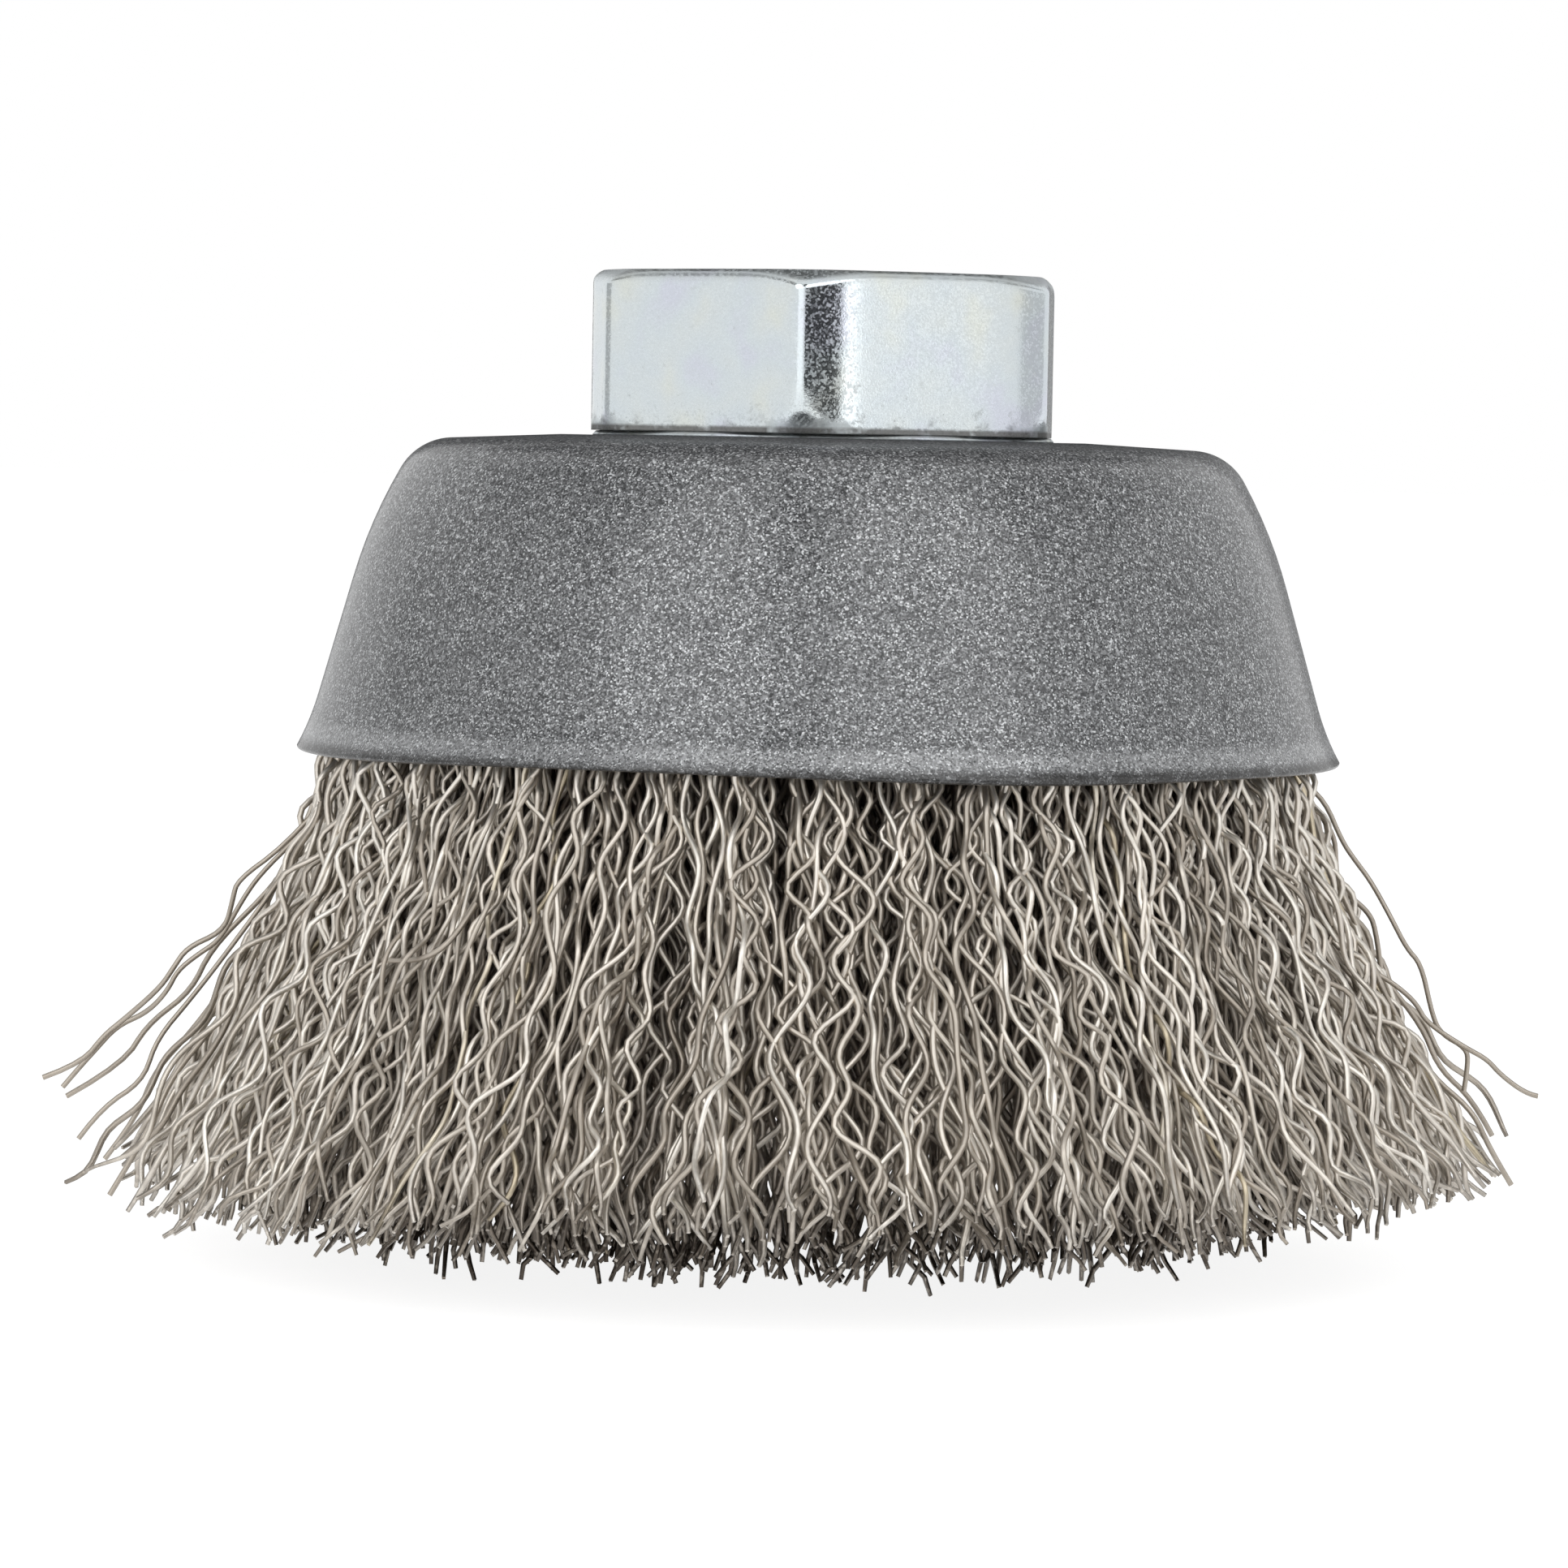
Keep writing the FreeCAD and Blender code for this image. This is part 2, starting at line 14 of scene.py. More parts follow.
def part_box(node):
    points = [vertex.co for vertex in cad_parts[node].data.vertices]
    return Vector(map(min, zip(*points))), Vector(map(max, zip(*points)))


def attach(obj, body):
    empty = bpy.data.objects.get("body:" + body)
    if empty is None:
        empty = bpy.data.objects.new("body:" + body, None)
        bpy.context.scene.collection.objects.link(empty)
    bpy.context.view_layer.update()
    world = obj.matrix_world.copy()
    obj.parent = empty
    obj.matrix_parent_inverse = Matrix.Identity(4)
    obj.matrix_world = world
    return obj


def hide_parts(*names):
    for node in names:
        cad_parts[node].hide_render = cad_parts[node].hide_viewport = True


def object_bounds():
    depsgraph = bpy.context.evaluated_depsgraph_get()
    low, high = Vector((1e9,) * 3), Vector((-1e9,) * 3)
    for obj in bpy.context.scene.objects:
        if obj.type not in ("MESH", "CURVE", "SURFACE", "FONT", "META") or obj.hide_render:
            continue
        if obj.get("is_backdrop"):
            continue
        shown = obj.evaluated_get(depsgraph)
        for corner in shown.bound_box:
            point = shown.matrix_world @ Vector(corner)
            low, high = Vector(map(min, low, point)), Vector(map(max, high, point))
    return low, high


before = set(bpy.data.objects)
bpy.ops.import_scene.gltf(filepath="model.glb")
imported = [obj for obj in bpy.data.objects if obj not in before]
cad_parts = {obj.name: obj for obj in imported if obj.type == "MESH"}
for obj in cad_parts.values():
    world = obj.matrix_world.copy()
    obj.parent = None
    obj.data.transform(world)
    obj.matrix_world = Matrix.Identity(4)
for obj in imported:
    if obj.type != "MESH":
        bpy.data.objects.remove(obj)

MM = 0.001
solid_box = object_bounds()
for name in sorted(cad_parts):
    low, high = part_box(name)
    print(name, "from", round(low[2] / MM, 2), "to", round(high[2] / MM, 2), "mm up")

# %% [markdown]
# The camera stands a little over a third of a metre away, level with the top of the cup, with a long
# lens that looks slightly down. It is turned a few degrees round the brush, so that the near corner
# of the nut lies left of the middle, and it is tilted by a degree, as a hand-placed brush looks.

# %% Camera
CAMERA_DISTANCE = 345 * MM
CAMERA_HEIGHT = 43.5 * MM
CAMERA_TURN = math.radians(3.3)
CAMERA_PITCH = math.radians(3.05)
CAMERA_YAW = math.radians(0.288)
CAMERA_ROLL = math.radians(1.05)
SENSOR_WIDTH = 36.0
LENS = 149.07
NEAREST, FARTHEST = 0.01, 50.0


def place_camera():
    camera = bpy.data.objects.new("camera", bpy.data.cameras.new("camera"))
    bpy.context.scene.collection.objects.link(camera)
    # Blender keeps a lens and its sensor in millimetres
    camera.data.sensor_width = SENSOR_WIDTH
    camera.data.lens = LENS
    camera.data.clip_start, camera.data.clip_end = NEAREST, FARTHEST
    where = Vector(
        (
            CAMERA_DISTANCE * math.sin(CAMERA_TURN),
            -CAMERA_DISTANCE * math.cos(CAMERA_TURN),
            CAMERA_HEIGHT,
        )
    )
    aim = (
        Matrix.Rotation(CAMERA_TURN + CAMERA_YAW, 4, "Z")
        @ Matrix.Rotation(math.radians(90) - CAMERA_PITCH, 4, "X")
        @ Matrix.Rotation(CAMERA_ROLL, 4, "Z")
    )
    camera.matrix_world = Matrix.Translation(where) @ aim
    bpy.context.scene.camera = camera
    return camera


camera = place_camera()
print("camera at", [round(v / MM, 1) for v in camera.matrix_world.translation], "mm")

# %% [markdown]
# The studio is a white sweep. Its floor is pale and keeps a soft shadow, and what the camera or a
# shiny surface sees of floor and world is white. Soft lamps above the camera's left and right give
# the wires their shine, and one on each side, which isn't mirrored, fills the flanks. Black, grey and
# white cards, which only shiny surfaces see, stand round the brush: without them, bright metal on a
# white ground has no edges. The nut's faces mirror the upright cards, and its chamfer, the cup's clear
# coat and the wires mirror the high ones.

# %% Node trees as plain sums
class Value:
    """A socket of a node tree. Sums on it add Math nodes."""

    def __init__(self, recipe, socket):
        self.recipe, self.socket = recipe, socket

    def math(self, operation, *others):
        return self.recipe.math(operation, self, *others)

    def __add__(self, other):
        return self.math("ADD", other)

    def __sub__(self, other):
        return self.math("SUBTRACT", other)

    def __rsub__(self, other):
        return self.recipe.math("SUBTRACT", other, self)

    def __mul__(self, other):
        return self.math("MULTIPLY", other)

    def __truediv__(self, other):
        return self.math("DIVIDE", other)

    def __pow__(self, other):
        return self.math("POWER", other)

    __radd__ = __add__
    __rmul__ = __mul__

    def above(self, edge, width):
        """0 under an edge and 1 over it, with a soft step of that width."""
        return self.recipe.math("MULTIPLY_ADD", self, 1 / width, 0.5 - edge / width, clamp=True)


class Made:
    """A finished node, whose outputs are values."""

    def __init__(self, recipe, node):
        self.recipe, self.node = recipe, node

    def __getitem__(self, key):
        return Value(self.recipe, self.node.outputs[key])


class Recipe:
    """A node tree that is filled one node at a time."""

    def __init__(self, tree):
        self.tree = tree

    def plug(self, socket, value):
        if isinstance(value, Value):
            self.tree.links.new(value.socket, socket)
        else:
            socket.default_value = value

    def node(self, kind, settings=None, sockets=None):
        """A node of a type, with its settings first and then the values or links of its sockets."""
        node = self.tree.nodes.new(kind)
        for name, value in (settings or {}).items():
            if name == "stops":
                self.set_stops(node.color_ramp.elements, value)
            else:
                setattr(node, name, value)
        for key, value in (sockets or {}).items():
            self.plug(node.inputs[key], value)
        return Made(self, node)

    def set_stops(self, elements, stops):
        while len(elements) < len(stops):
            elements.new(1.0)
        for element, (place, colour) in zip(elements, stops):
            element.position = place
            element.color = (*colour, 1.0)

    def math(self, operation, *values, clamp=False):
        settings = {"operation": operation, "use_clamp": clamp}
        return self.node("ShaderNodeMath", settings, dict(enumerate(values)))[0]

    def mix(self, share, first, second):
        """Two colours mixed by a share from 0 to 1."""
        colours = [c if isinstance(c, Value) else (*c, 1.0) for c in (first, second)]
        sockets = {0: share, 6: colours[0], 7: colours[1]}
        return self.node("ShaderNodeMix", {"data_type": "RGBA"}, sockets)[2]


print("sums on values add nodes from here on")

# %% White sweep
WHITE = (1.0, 1.0, 1.0, 1.0)
FLOOR_PAPER = (0.86, 0.86, 0.86, 1.0)
FLOOR_GLOW = 1.45
FLOOR_GLOW_SHARE = 0.6
FLOOR_REACH = 6.0
FLOOR_DROP = 0.05 * MM
WORLD_LIGHT = 0.5


def seen_directly(recipe):
    """1 for what the camera, a shiny surface or glass sees, 0 for soft light."""
    path = recipe.node("ShaderNodeLightPath")
    seen = path["Is Camera Ray"].math("MAXIMUM", path["Is Glossy Ray"])
    return seen.math("MAXIMUM", path["Is Transmission Ray"])


def make_world():
    world = bpy.data.worlds.new("white_room")
    bpy.context.scene.world = world
    world.use_nodes = True
    world.node_tree.nodes.clear()
    recipe = Recipe(world.node_tree)
    strength = seen_directly(recipe) * (1.0 - WORLD_LIGHT) + WORLD_LIGHT
    light = recipe.node("ShaderNodeBackground", {}, {"Color": WHITE, "Strength": strength})
    recipe.node("ShaderNodeOutputWorld", {}, {"Surface": light[0]})


def make_floor():
    mesh = bpy.data.meshes.new("floor")
    corners = ((-1, -1), (1, -1), (1, 1), (-1, 1))
    spots = [(x * FLOOR_REACH, y * FLOOR_REACH, -FLOOR_DROP) for x, y in corners]
    mesh.from_pydata(spots, [], [(0, 1, 2, 3)])
    floor = bpy.data.objects.new("floor", mesh)
    bpy.context.scene.collection.objects.link(floor)
    material = bpy.data.materials.new("white_floor")
    material.use_nodes = True
    material.node_tree.nodes.clear()
    recipe = Recipe(material.node_tree)
    paper = recipe.node("ShaderNodeBsdfDiffuse", {}, {"Color": FLOOR_PAPER})
    glow = recipe.node("ShaderNodeEmission", {}, {"Color": WHITE, "Strength": FLOOR_GLOW})
    share = seen_directly(recipe) * FLOOR_GLOW_SHARE
    both = recipe.node("ShaderNodeMixShader", {}, {0: share, 1: paper[0], 2: glow[0]})
    recipe.node("ShaderNodeOutputMaterial", {}, {"Surface": both[0]})
    material.cycles.emission_sampling = "NONE"
    mesh.materials.append(material)
    floor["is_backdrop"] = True


make_world()
make_floor()
print("floor and world are white")

# %% Lamps and cards
# Name, place, side of the square, power in watts, and whether shiny surfaces mirror it
LAMPS = (
    ("left_front_lamp", (-0.27, -0.57, 0.42), 0.6, 1.2, True),
    ("right_front_lamp", (0.33, -0.54, 0.42), 0.6, 1.25, True),
    ("left_side_lamp", (-0.62, -0.02, 0.38), 0.7, 0.62, False),
    ("right_side_lamp", (0.62, -0.02, 0.38), 0.7, 0.86, False),
)
# Name, degrees to the right of the camera, distance, height, width and height, brightness
CARDS = (
    ("black_card", 22.5, 0.60, 0.12, (0.42, 0.26), 0.05),
    ("left_white_card", -22.0, 0.60, 0.12, (0.36, 0.26), 1.4),
    ("right_white_card", 46.8, 0.62, 0.12, (0.09, 0.26), 1.8),
    ("grey_card", 168.0, 0.60, 0.12, (0.30, 0.26), 0.30),
    ("high_black_card", 180.0, 0.36, 0.56, (0.60, 0.44), 0.03),
    ("left_grey_card", -104.0, 0.60, 0.06, (0.40, 0.30), 0.55),
    ("right_grey_card", 84.0, 0.60, 0.06, (0.18, 0.26), 0.70),
    ("left_high_card", -82.0, 0.42, 0.46, (0.50, 0.28), 0.35),
    ("right_high_card", 84.0, 0.42, 0.46, (0.46, 0.26), 0.40),
    ("back_black_card", 180.0, 0.60, 0.16, (0.32, 0.38), 0.03),
    ("front_black_card", -6.0, 0.40, 0.45, (0.14, 0.32), 0.03),
)
LAMP_TARGET = (0, 0, 30 * MM)
CARD_TARGET = (0, 0, 48 * MM)


def aim_at(thing, where, target):
    """Puts a lamp or board somewhere, with its face to a target."""
    turn = (Vector(target) - Vector(where)).to_track_quat("-Z", "Y")
    thing.matrix_world = Matrix.Translation(where) @ turn.to_matrix().to_4x4()


def soft_lamp(name, where, side, power, mirrored):
    lamp = bpy.data.objects.new(name, bpy.data.lights.new(name, "AREA"))
    bpy.context.scene.collection.objects.link(lamp)
    lamp.data.shape = "RECTANGLE"
    lamp.data.size, lamp.data.size_y = side, side
    lamp.data.energy = power
    lamp.visible_glossy = mirrored
    aim_at(lamp, where, LAMP_TARGET)


def card(name, turn, distance, height, size, brightness):
    """A card that only shiny surfaces see, so many degrees to the right of the camera."""
    mesh = bpy.data.meshes.new(name)
    w, h = size[0] / 2, size[1] / 2
    mesh.from_pydata([(-w, -h, 0), (w, -h, 0), (w, h, 0), (-w, h, 0)], [], [(0, 1, 2, 3)])
    piece = bpy.data.objects.new(name, mesh)
    bpy.context.scene.collection.objects.link(piece)
    way = CAMERA_TURN + math.radians(turn)
    where = (distance * math.sin(way), -distance * math.cos(way), height)
    aim_at(piece, where, CARD_TARGET)
    material = bpy.data.materials.new(name)
    material.use_nodes = True
    material.node_tree.nodes.clear()
    recipe = Recipe(material.node_tree)
    glow = recipe.node("ShaderNodeEmission", {}, {"Color": WHITE, "Strength": brightness})
    recipe.node("ShaderNodeOutputMaterial", {}, {"Surface": glow[0]})
    material.cycles.emission_sampling = "NONE"
    mesh.materials.append(material)
    for ray in ("camera", "diffuse", "shadow", "transmission", "volume_scatter"):
        setattr(piece, f"visible_{ray}", False)
    piece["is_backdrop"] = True


for values in LAMPS:
    soft_lamp(*values)
for values in CARDS:
    card(*values)
print(len(LAMPS), "lamps,", len(CARDS), "cards")

# %% [markdown]
# The cup is one piece of sheet steel, pressed to a nearly flat crown, a rounded shoulder, a cone and a
# flared lip. It could be lathed or subdivided from a cage. Here its outline is worked out from the
# same radii and angles as the solid's and turned round the axis, so that the skin lies on the solid.
# Only the lip differs: its edge is rounded, and the press leaves it very slightly wavy.

# %% The cup's outline
WALL = 1.0 * MM
RIM_HEIGHT = 26.5 * MM
CUP_TOP = 43.5 * MM
RIM_RADIUS = 27.75 * MM
SEAT_RADIUS = 13.7 * MM
HOLE_RADIUS = 9.6 * MM
SHOULDER = 3.2 * MM
FLANK = 26.0 * MM
FLARE = 15.5 * MM
FLARE_HEIGHT = 3.05 * MM
CROWN_SLOPE = math.radians(2.7)
# How far the skin faces up where the shoulder meets the flank, and on the cone below it
JOIN = math.radians(29.6)
CONE = math.radians(15.8)
HOLE_LAND = 0.3 * MM
SEAT_LAND = 0.2 * MM
CUP_COLUMNS = 192


def outward(angle, length=1.0):
    """A step in the outline's plane, (outward, up), at an angle above the horizontal."""
    return Vector((math.cos(angle) * length, math.sin(angle) * length))


def arc_points(centre, radius, start, end, count):
    angles = [start + (end - start) * i / count for i in range(count + 1)]
    return [centre + outward(angle, radius) for angle in angles]


def cup_outline(inset):
    """The cup's skin from the hole to the rim as (radius, height), moved in by a wall's thickness."""
    crown_out = math.radians(90) - CROWN_SLOPE
    rim = Vector((RIM_RADIUS, RIM_HEIGHT))
    seat = Vector((SEAT_RADIUS, CUP_TOP))
    lip = math.asin(math.sin(CONE) + FLARE_HEIGHT / FLARE)
    flare_centre = rim + outward(lip, FLARE)
    foot = flare_centre - outward(CONE, FLARE)
    to_crown = seat.dot(outward(crown_out)) - SHOULDER
    to_cone = foot.dot(outward(CONE)) - FLANK + (FLANK - SHOULDER) * math.cos(JOIN - CONE)
    a, b = outward(crown_out), outward(CONE)
    cross = a.x * b.y - a.y * b.x
    shoulder_centre = Vector(
        ((to_crown * b.y - to_cone * a.y) / cross, (to_cone * a.x - to_crown * b.x) / cross)
    )
    flank_centre = shoulder_centre + outward(JOIN, SHOULDER - FLANK)
    seat_in = seat - Vector((math.tan(CROWN_SLOPE / 2) * inset, inset))
    points = [Vector((HOLE_RADIUS, CUP_TOP - inset))]
    points += [Vector((HOLE_RADIUS + HOLE_LAND, CUP_TOP - inset))]
    points += [seat_in - Vector((SEAT_LAND, 0)), seat_in + Vector((SEAT_LAND, 0))]
    points += arc_points(shoulder_centre, SHOULDER - inset, crown_out, JOIN, 12)
    points += arc_points(flank_centre, FLANK - inset, JOIN, CONE, 6)[1:]
    # The lip is cut level, so the inner skin's flare ends at the same height
    end = math.asin((flare_centre.y - RIM_HEIGHT) / (FLARE + inset))
    flare = arc_points(flare_centre, FLARE + inset, math.pi + CONE, math.pi + end, 7)
    return points + flare


outside = cup_outline(0.0)
print("outline of", len(outside), "points, from radius", round(outside[0].x / MM, 1), "mm")

# %% Turned skins
SAME_SPOT = 0.001 * MM


def smooth_piece(name, mesh):
    """A piece with a finished mesh, shaded smooth."""
    mesh.polygons.foreach_set("use_smooth", [True] * len(mesh.polygons))
    piece = bpy.data.objects.new(name, mesh)
    bpy.context.scene.collection.objects.link(piece)
    return piece


def turned_skin(name, angles, outline_at):
    """A closed skin round the axis. Its outline of (radius, height) may differ from angle to angle."""
    made = bmesh.new()
    rings = []
    for angle in angles:
        points = [(r * math.cos(angle), r * math.sin(angle), z) for r, z in outline_at(angle)]
        rings.append([made.verts.new(point) for point in points])
    count = len(rings[0])
    for here, there in zip(rings, rings[1:] + rings[:1]):
        for i in range(count):
            k = (i + 1) % count
            made.faces.new((here[i], there[i], there[k], here[k]))
    bmesh.ops.remove_doubles(made, verts=made.verts, dist=SAME_SPOT)
    bmesh.ops.recalc_face_normals(made, faces=made.faces)
    mesh = bpy.data.meshes.new(name)
    made.to_mesh(mesh)
    made.free()
    return smooth_piece(name, mesh)


WAVY_HEIGHT = 6 * MM
DRAWN_UP_AT = -104.0
DRAWN_UP_WIDTH = 24.0


def wavy_outline(angle):
    """The press leaves the lip some tenths of a millimetre out of round and level."""
    radial = 0.05 * math.sin(3 * angle + 0.7) + 0.025 * math.sin(11 * angle + 2.0)
    level = 0.14 + 0.05 * math.sin(3 * angle + 2.2) + 0.03 * math.sin(8 * angle + 0.4)
    # Left of the front it is drawn up most
    off = (math.degrees(angle) - DRAWN_UP_AT + 180) % 360 - 180
    level += 0.32 * math.exp(-((off / DRAWN_UP_WIDTH) ** 2))
    points = []
    for point in rounded_outline:
        low = max(0.0, 1.0 - (point.y - RIM_HEIGHT) / WAVY_HEIGHT)
        points.append((point.x + radial * MM * low * low, point.y + level * MM * low * low))
    return points


inside = cup_outline(WALL)
edge_out = (outside[-1] + outside[-2]) / 2
edge_in = (inside[-1] + inside[-2]) / 2
lip_round = edge_out.y - RIM_HEIGHT
outer_turn = arc_points(edge_out - Vector((lip_round, 0)), lip_round, 0.0, -math.pi / 2, 4)
inner_turn = arc_points(edge_in + Vector((lip_round, 0)), lip_round, -math.pi / 2, -math.pi, 4)
rounded_outline = outside[:-1] + outer_turn + inner_turn + inside[-2::-1]
cup_angles = [math.tau * step / CUP_COLUMNS for step in range(CUP_COLUMNS)]
pressed_cup = turned_skin("pressed_cup", cup_angles, wavy_outline)
print("pressed cup:", len(pressed_cup.data.polygons), "faces")

# %% [markdown]
# The nut is turned and milled from bar: a hexagon whose corners work has worn, with a 30 degree
# chamfer, a thin collar under it, and a spigot that goes through the cup. The skin is a grid round the
# axis. Its radius at each angle is the least of the hexagon, the worn corner, the chamfer's cone and
# the cone of the foot, joined softly, because real edges catch a line of light.

# %% Hexagon nut
NUT_TOP = 52.15 * MM
NUT_FOOT = 43.75 * MM
NUT_BOTTOM = 40.1 * MM
BORE = 7.3 * MM
# How far from the axis the flats, the worn corners, the chamfer at the top and the foot's cone lie
HALF_ACROSS = 12.0 * MM
WORN = 12.86 * MM
FACE = 12.25 * MM
FOOT = 13.17 * MM
# The chamfer's and the foot's slopes, and the degrees by which wear cuts each corner to one side
CHAMFER = math.tan(math.radians(30))
FOOT_LEAN = 0.4
WEAR_TURNS = (17, -15, 12, -14, 16, -10)
ROUNDING = 0.62 * MM
# The turned outline under the hexagon and over it, as (radius, height) in millimetres
SPIGOT_AND_COLLAR = (
    (7.3, 40.1), (9.5, 40.1), (10.7, 40.55), (10.9, 40.75), (10.9, 41.1), (10.8, 41.25), (10.7, 41.3),
    (9.5, 41.3), (9.5, 43.4), (9.5, 43.5), (12.2, 43.5), (12.24, 43.52), (12.07, 43.72), (11.8, 43.75),
)
TOP_FACE = ((11.3, 52.14), (11.15, 52.15), (9.5, 52.15), (7.4, 52.15), (7.3, 52.14), (7.3, 51.9))
# Heights of the hexagon's rows, closer together where it curves
HEXAGON_ROWS = (
    43.75, 43.8, 43.9, 44.05, 44.3, 45, 46.5, 48, 49.4, 50.2, 50.6, 50.85, 51.05, 51.2, 51.35, 51.5,
    51.62, 51.72, 51.8, 51.88, 51.96, 52.04, 52.1, 52.13,
)
# Degrees from a corner to the grid's columns beside it
CORNER_STEPS = (0, 0.7, 1.4, 2, 2.6, 3.2, 3.8, 4.5, 5.2, 6, 6.8, 7.8, 9, 10.5, 12.5, 15, 18, 22, 26)


def soft_least(a, b, width):
    """The lesser of two lengths, rounded over where they meet."""
    share = max(0.0, min(1.0, 0.5 + 0.5 * (b - a) / width))
    return b + (a - b) * share - width * share * (1.0 - share)


def nut_radius(angle, height):
    """Radius of the nut's side. Wear has cut each corner to one side, and dulled the edges."""
    turn = (angle + math.pi / 2 + math.radians(30)) % math.radians(60) - math.radians(30)
    first_flat = HALF_ACROSS / math.cos(math.radians(30) + turn)
    next_flat = HALF_ACROSS / math.cos(math.radians(30) - turn)
    corner = round((angle + math.pi / 2) / math.radians(60)) % 6
    worn = WORN / math.cos(turn - math.radians(WEAR_TURNS[corner]))
    body = soft_least(soft_least(worn, next_flat, 0.3 * MM), first_flat, 0.35 * MM)
    down = NUT_TOP - height
    short = max(0.0, ROUNDING - down)
    dulled = body - ROUNDING + math.sqrt(ROUNDING * ROUNDING - short * short)
    cone = FACE + down / CHAMFER
    foot_cone = FOOT + (height - NUT_FOOT) * FOOT_LEAN
    return soft_least(soft_least(dulled, cone, 0.5 * MM), foot_cone, 0.25 * MM)


def nut_angles():
    """Angles round the nut, closer together at its six corners."""
    half = sorted({-s for s in CORNER_STEPS} | set(CORNER_STEPS) | {30})
    return [math.radians(60 * k - 90 + s) for k in range(6) for s in half]


def nut_outline(angle):
    points = [(r * MM, z * MM) for r, z in SPIGOT_AND_COLLAR]
    points += [(nut_radius(angle, z * MM), z * MM) for z in HEXAGON_ROWS]
    return points + [(min(r * MM, nut_radius(angle, NUT_TOP)), z * MM) for r, z in TOP_FACE]


hexagon_nut = turned_skin("hexagon_nut", nut_angles(), nut_outline)
print("hexagon nut:", len(hexagon_nut.data.polygons), "faces")

# %% [markdown]
# The nut's thread is a ridge that winds round the bore, two millimetres up with each turn, to the
# right. A screw modifier could sweep it. Geometry Nodes are used instead, because the ridge follows a
# rule: a grid is wrapped round the axis, and each of its rows climbs with the angle. Rows that would
# leave the bore are held on its two countersinks.

# %% Finishes and pieces from node trees
def new_finish(name):
    material = bpy.data.materials.new(name)
    material.use_nodes = True
    material.node_tree.nodes.clear()
    return material, Recipe(material.node_tree)


def new_tree(name, inputs):
    """A geometry tree with named inputs, its recipe, and its inputs as values."""
    tree = bpy.data.node_groups.new(name, "GeometryNodeTree")
    tree.interface.new_socket("Geometry", in_out="OUTPUT", socket_type="NodeSocketGeometry")
    for label, kind in inputs:
        tree.interface.new_socket(label, in_out="INPUT", socket_type=f"NodeSocket{kind}")
    recipe = Recipe(tree)
    return tree, recipe, recipe.node("NodeGroupInput")


def shaded_and_painted(recipe, geometry, finish):
    """Ends a geometry tree: smooth, made real, and given its finish."""
    smooth = recipe.node("GeometryNodeSetShadeSmooth", {}, {"Geometry": geometry})
    real = recipe.node("GeometryNodeRealizeInstances", {}, {"Geometry": smooth[0]})
    painted = recipe.node("GeometryNodeSetMaterial", {}, {"Geometry": real[0], "Material": finish})
    recipe.node("NodeGroupOutput", {}, {0: painted[0]})


def grow(name, tree, given):
    """The piece that a geometry tree makes from given values, as a plain mesh."""
    piece = bpy.data.objects.new(name, bpy.data.meshes.new(name))
    bpy.context.scene.collection.objects.link(piece)
    modifier = piece.modifiers.new("shape", "NODES")
    modifier.node_group = tree
    for item in tree.interface.items_tree:
        if item.item_type == "SOCKET" and item.in_out == "INPUT" and item.name in given:
            modifier[item.identifier] = given[item.name]
    graph = bpy.context.evaluated_depsgraph_get()
    mesh = bpy.data.meshes.new_from_object(piece.evaluated_get(graph))
    piece.modifiers.clear()
    piece.data = mesh
    mesh.name = name
    return piece


zinc, zinc_recipe = new_finish("zinc_plated_steel")
paint, paint_recipe = new_finish("speckled_paint")
plain, plain_recipe = new_finish("plain_steel")
drawn, drawn_recipe = new_finish("drawn_wire")
print("four finishes are named and filled further down")

# %% Thread in the bore
# Of each turn of the thread, a flank takes this share, and the crest this much more
FLANK_SHARE = 0.22
CREST_MORE = 0.06
THREAD_INPUTS = (
    ("Columns", "Int"),
    ("Rows", "Int"),
    ("Pitch", "Float"),
    ("Core Radius", "Float"),
    ("Thread Radius", "Float"),
    ("Mouth Radius", "Float"),
    ("Bottom", "Float"),
    ("Top", "Float"),
    ("Wall Radius", "Float"),
    ("Finish", "Material"),
)


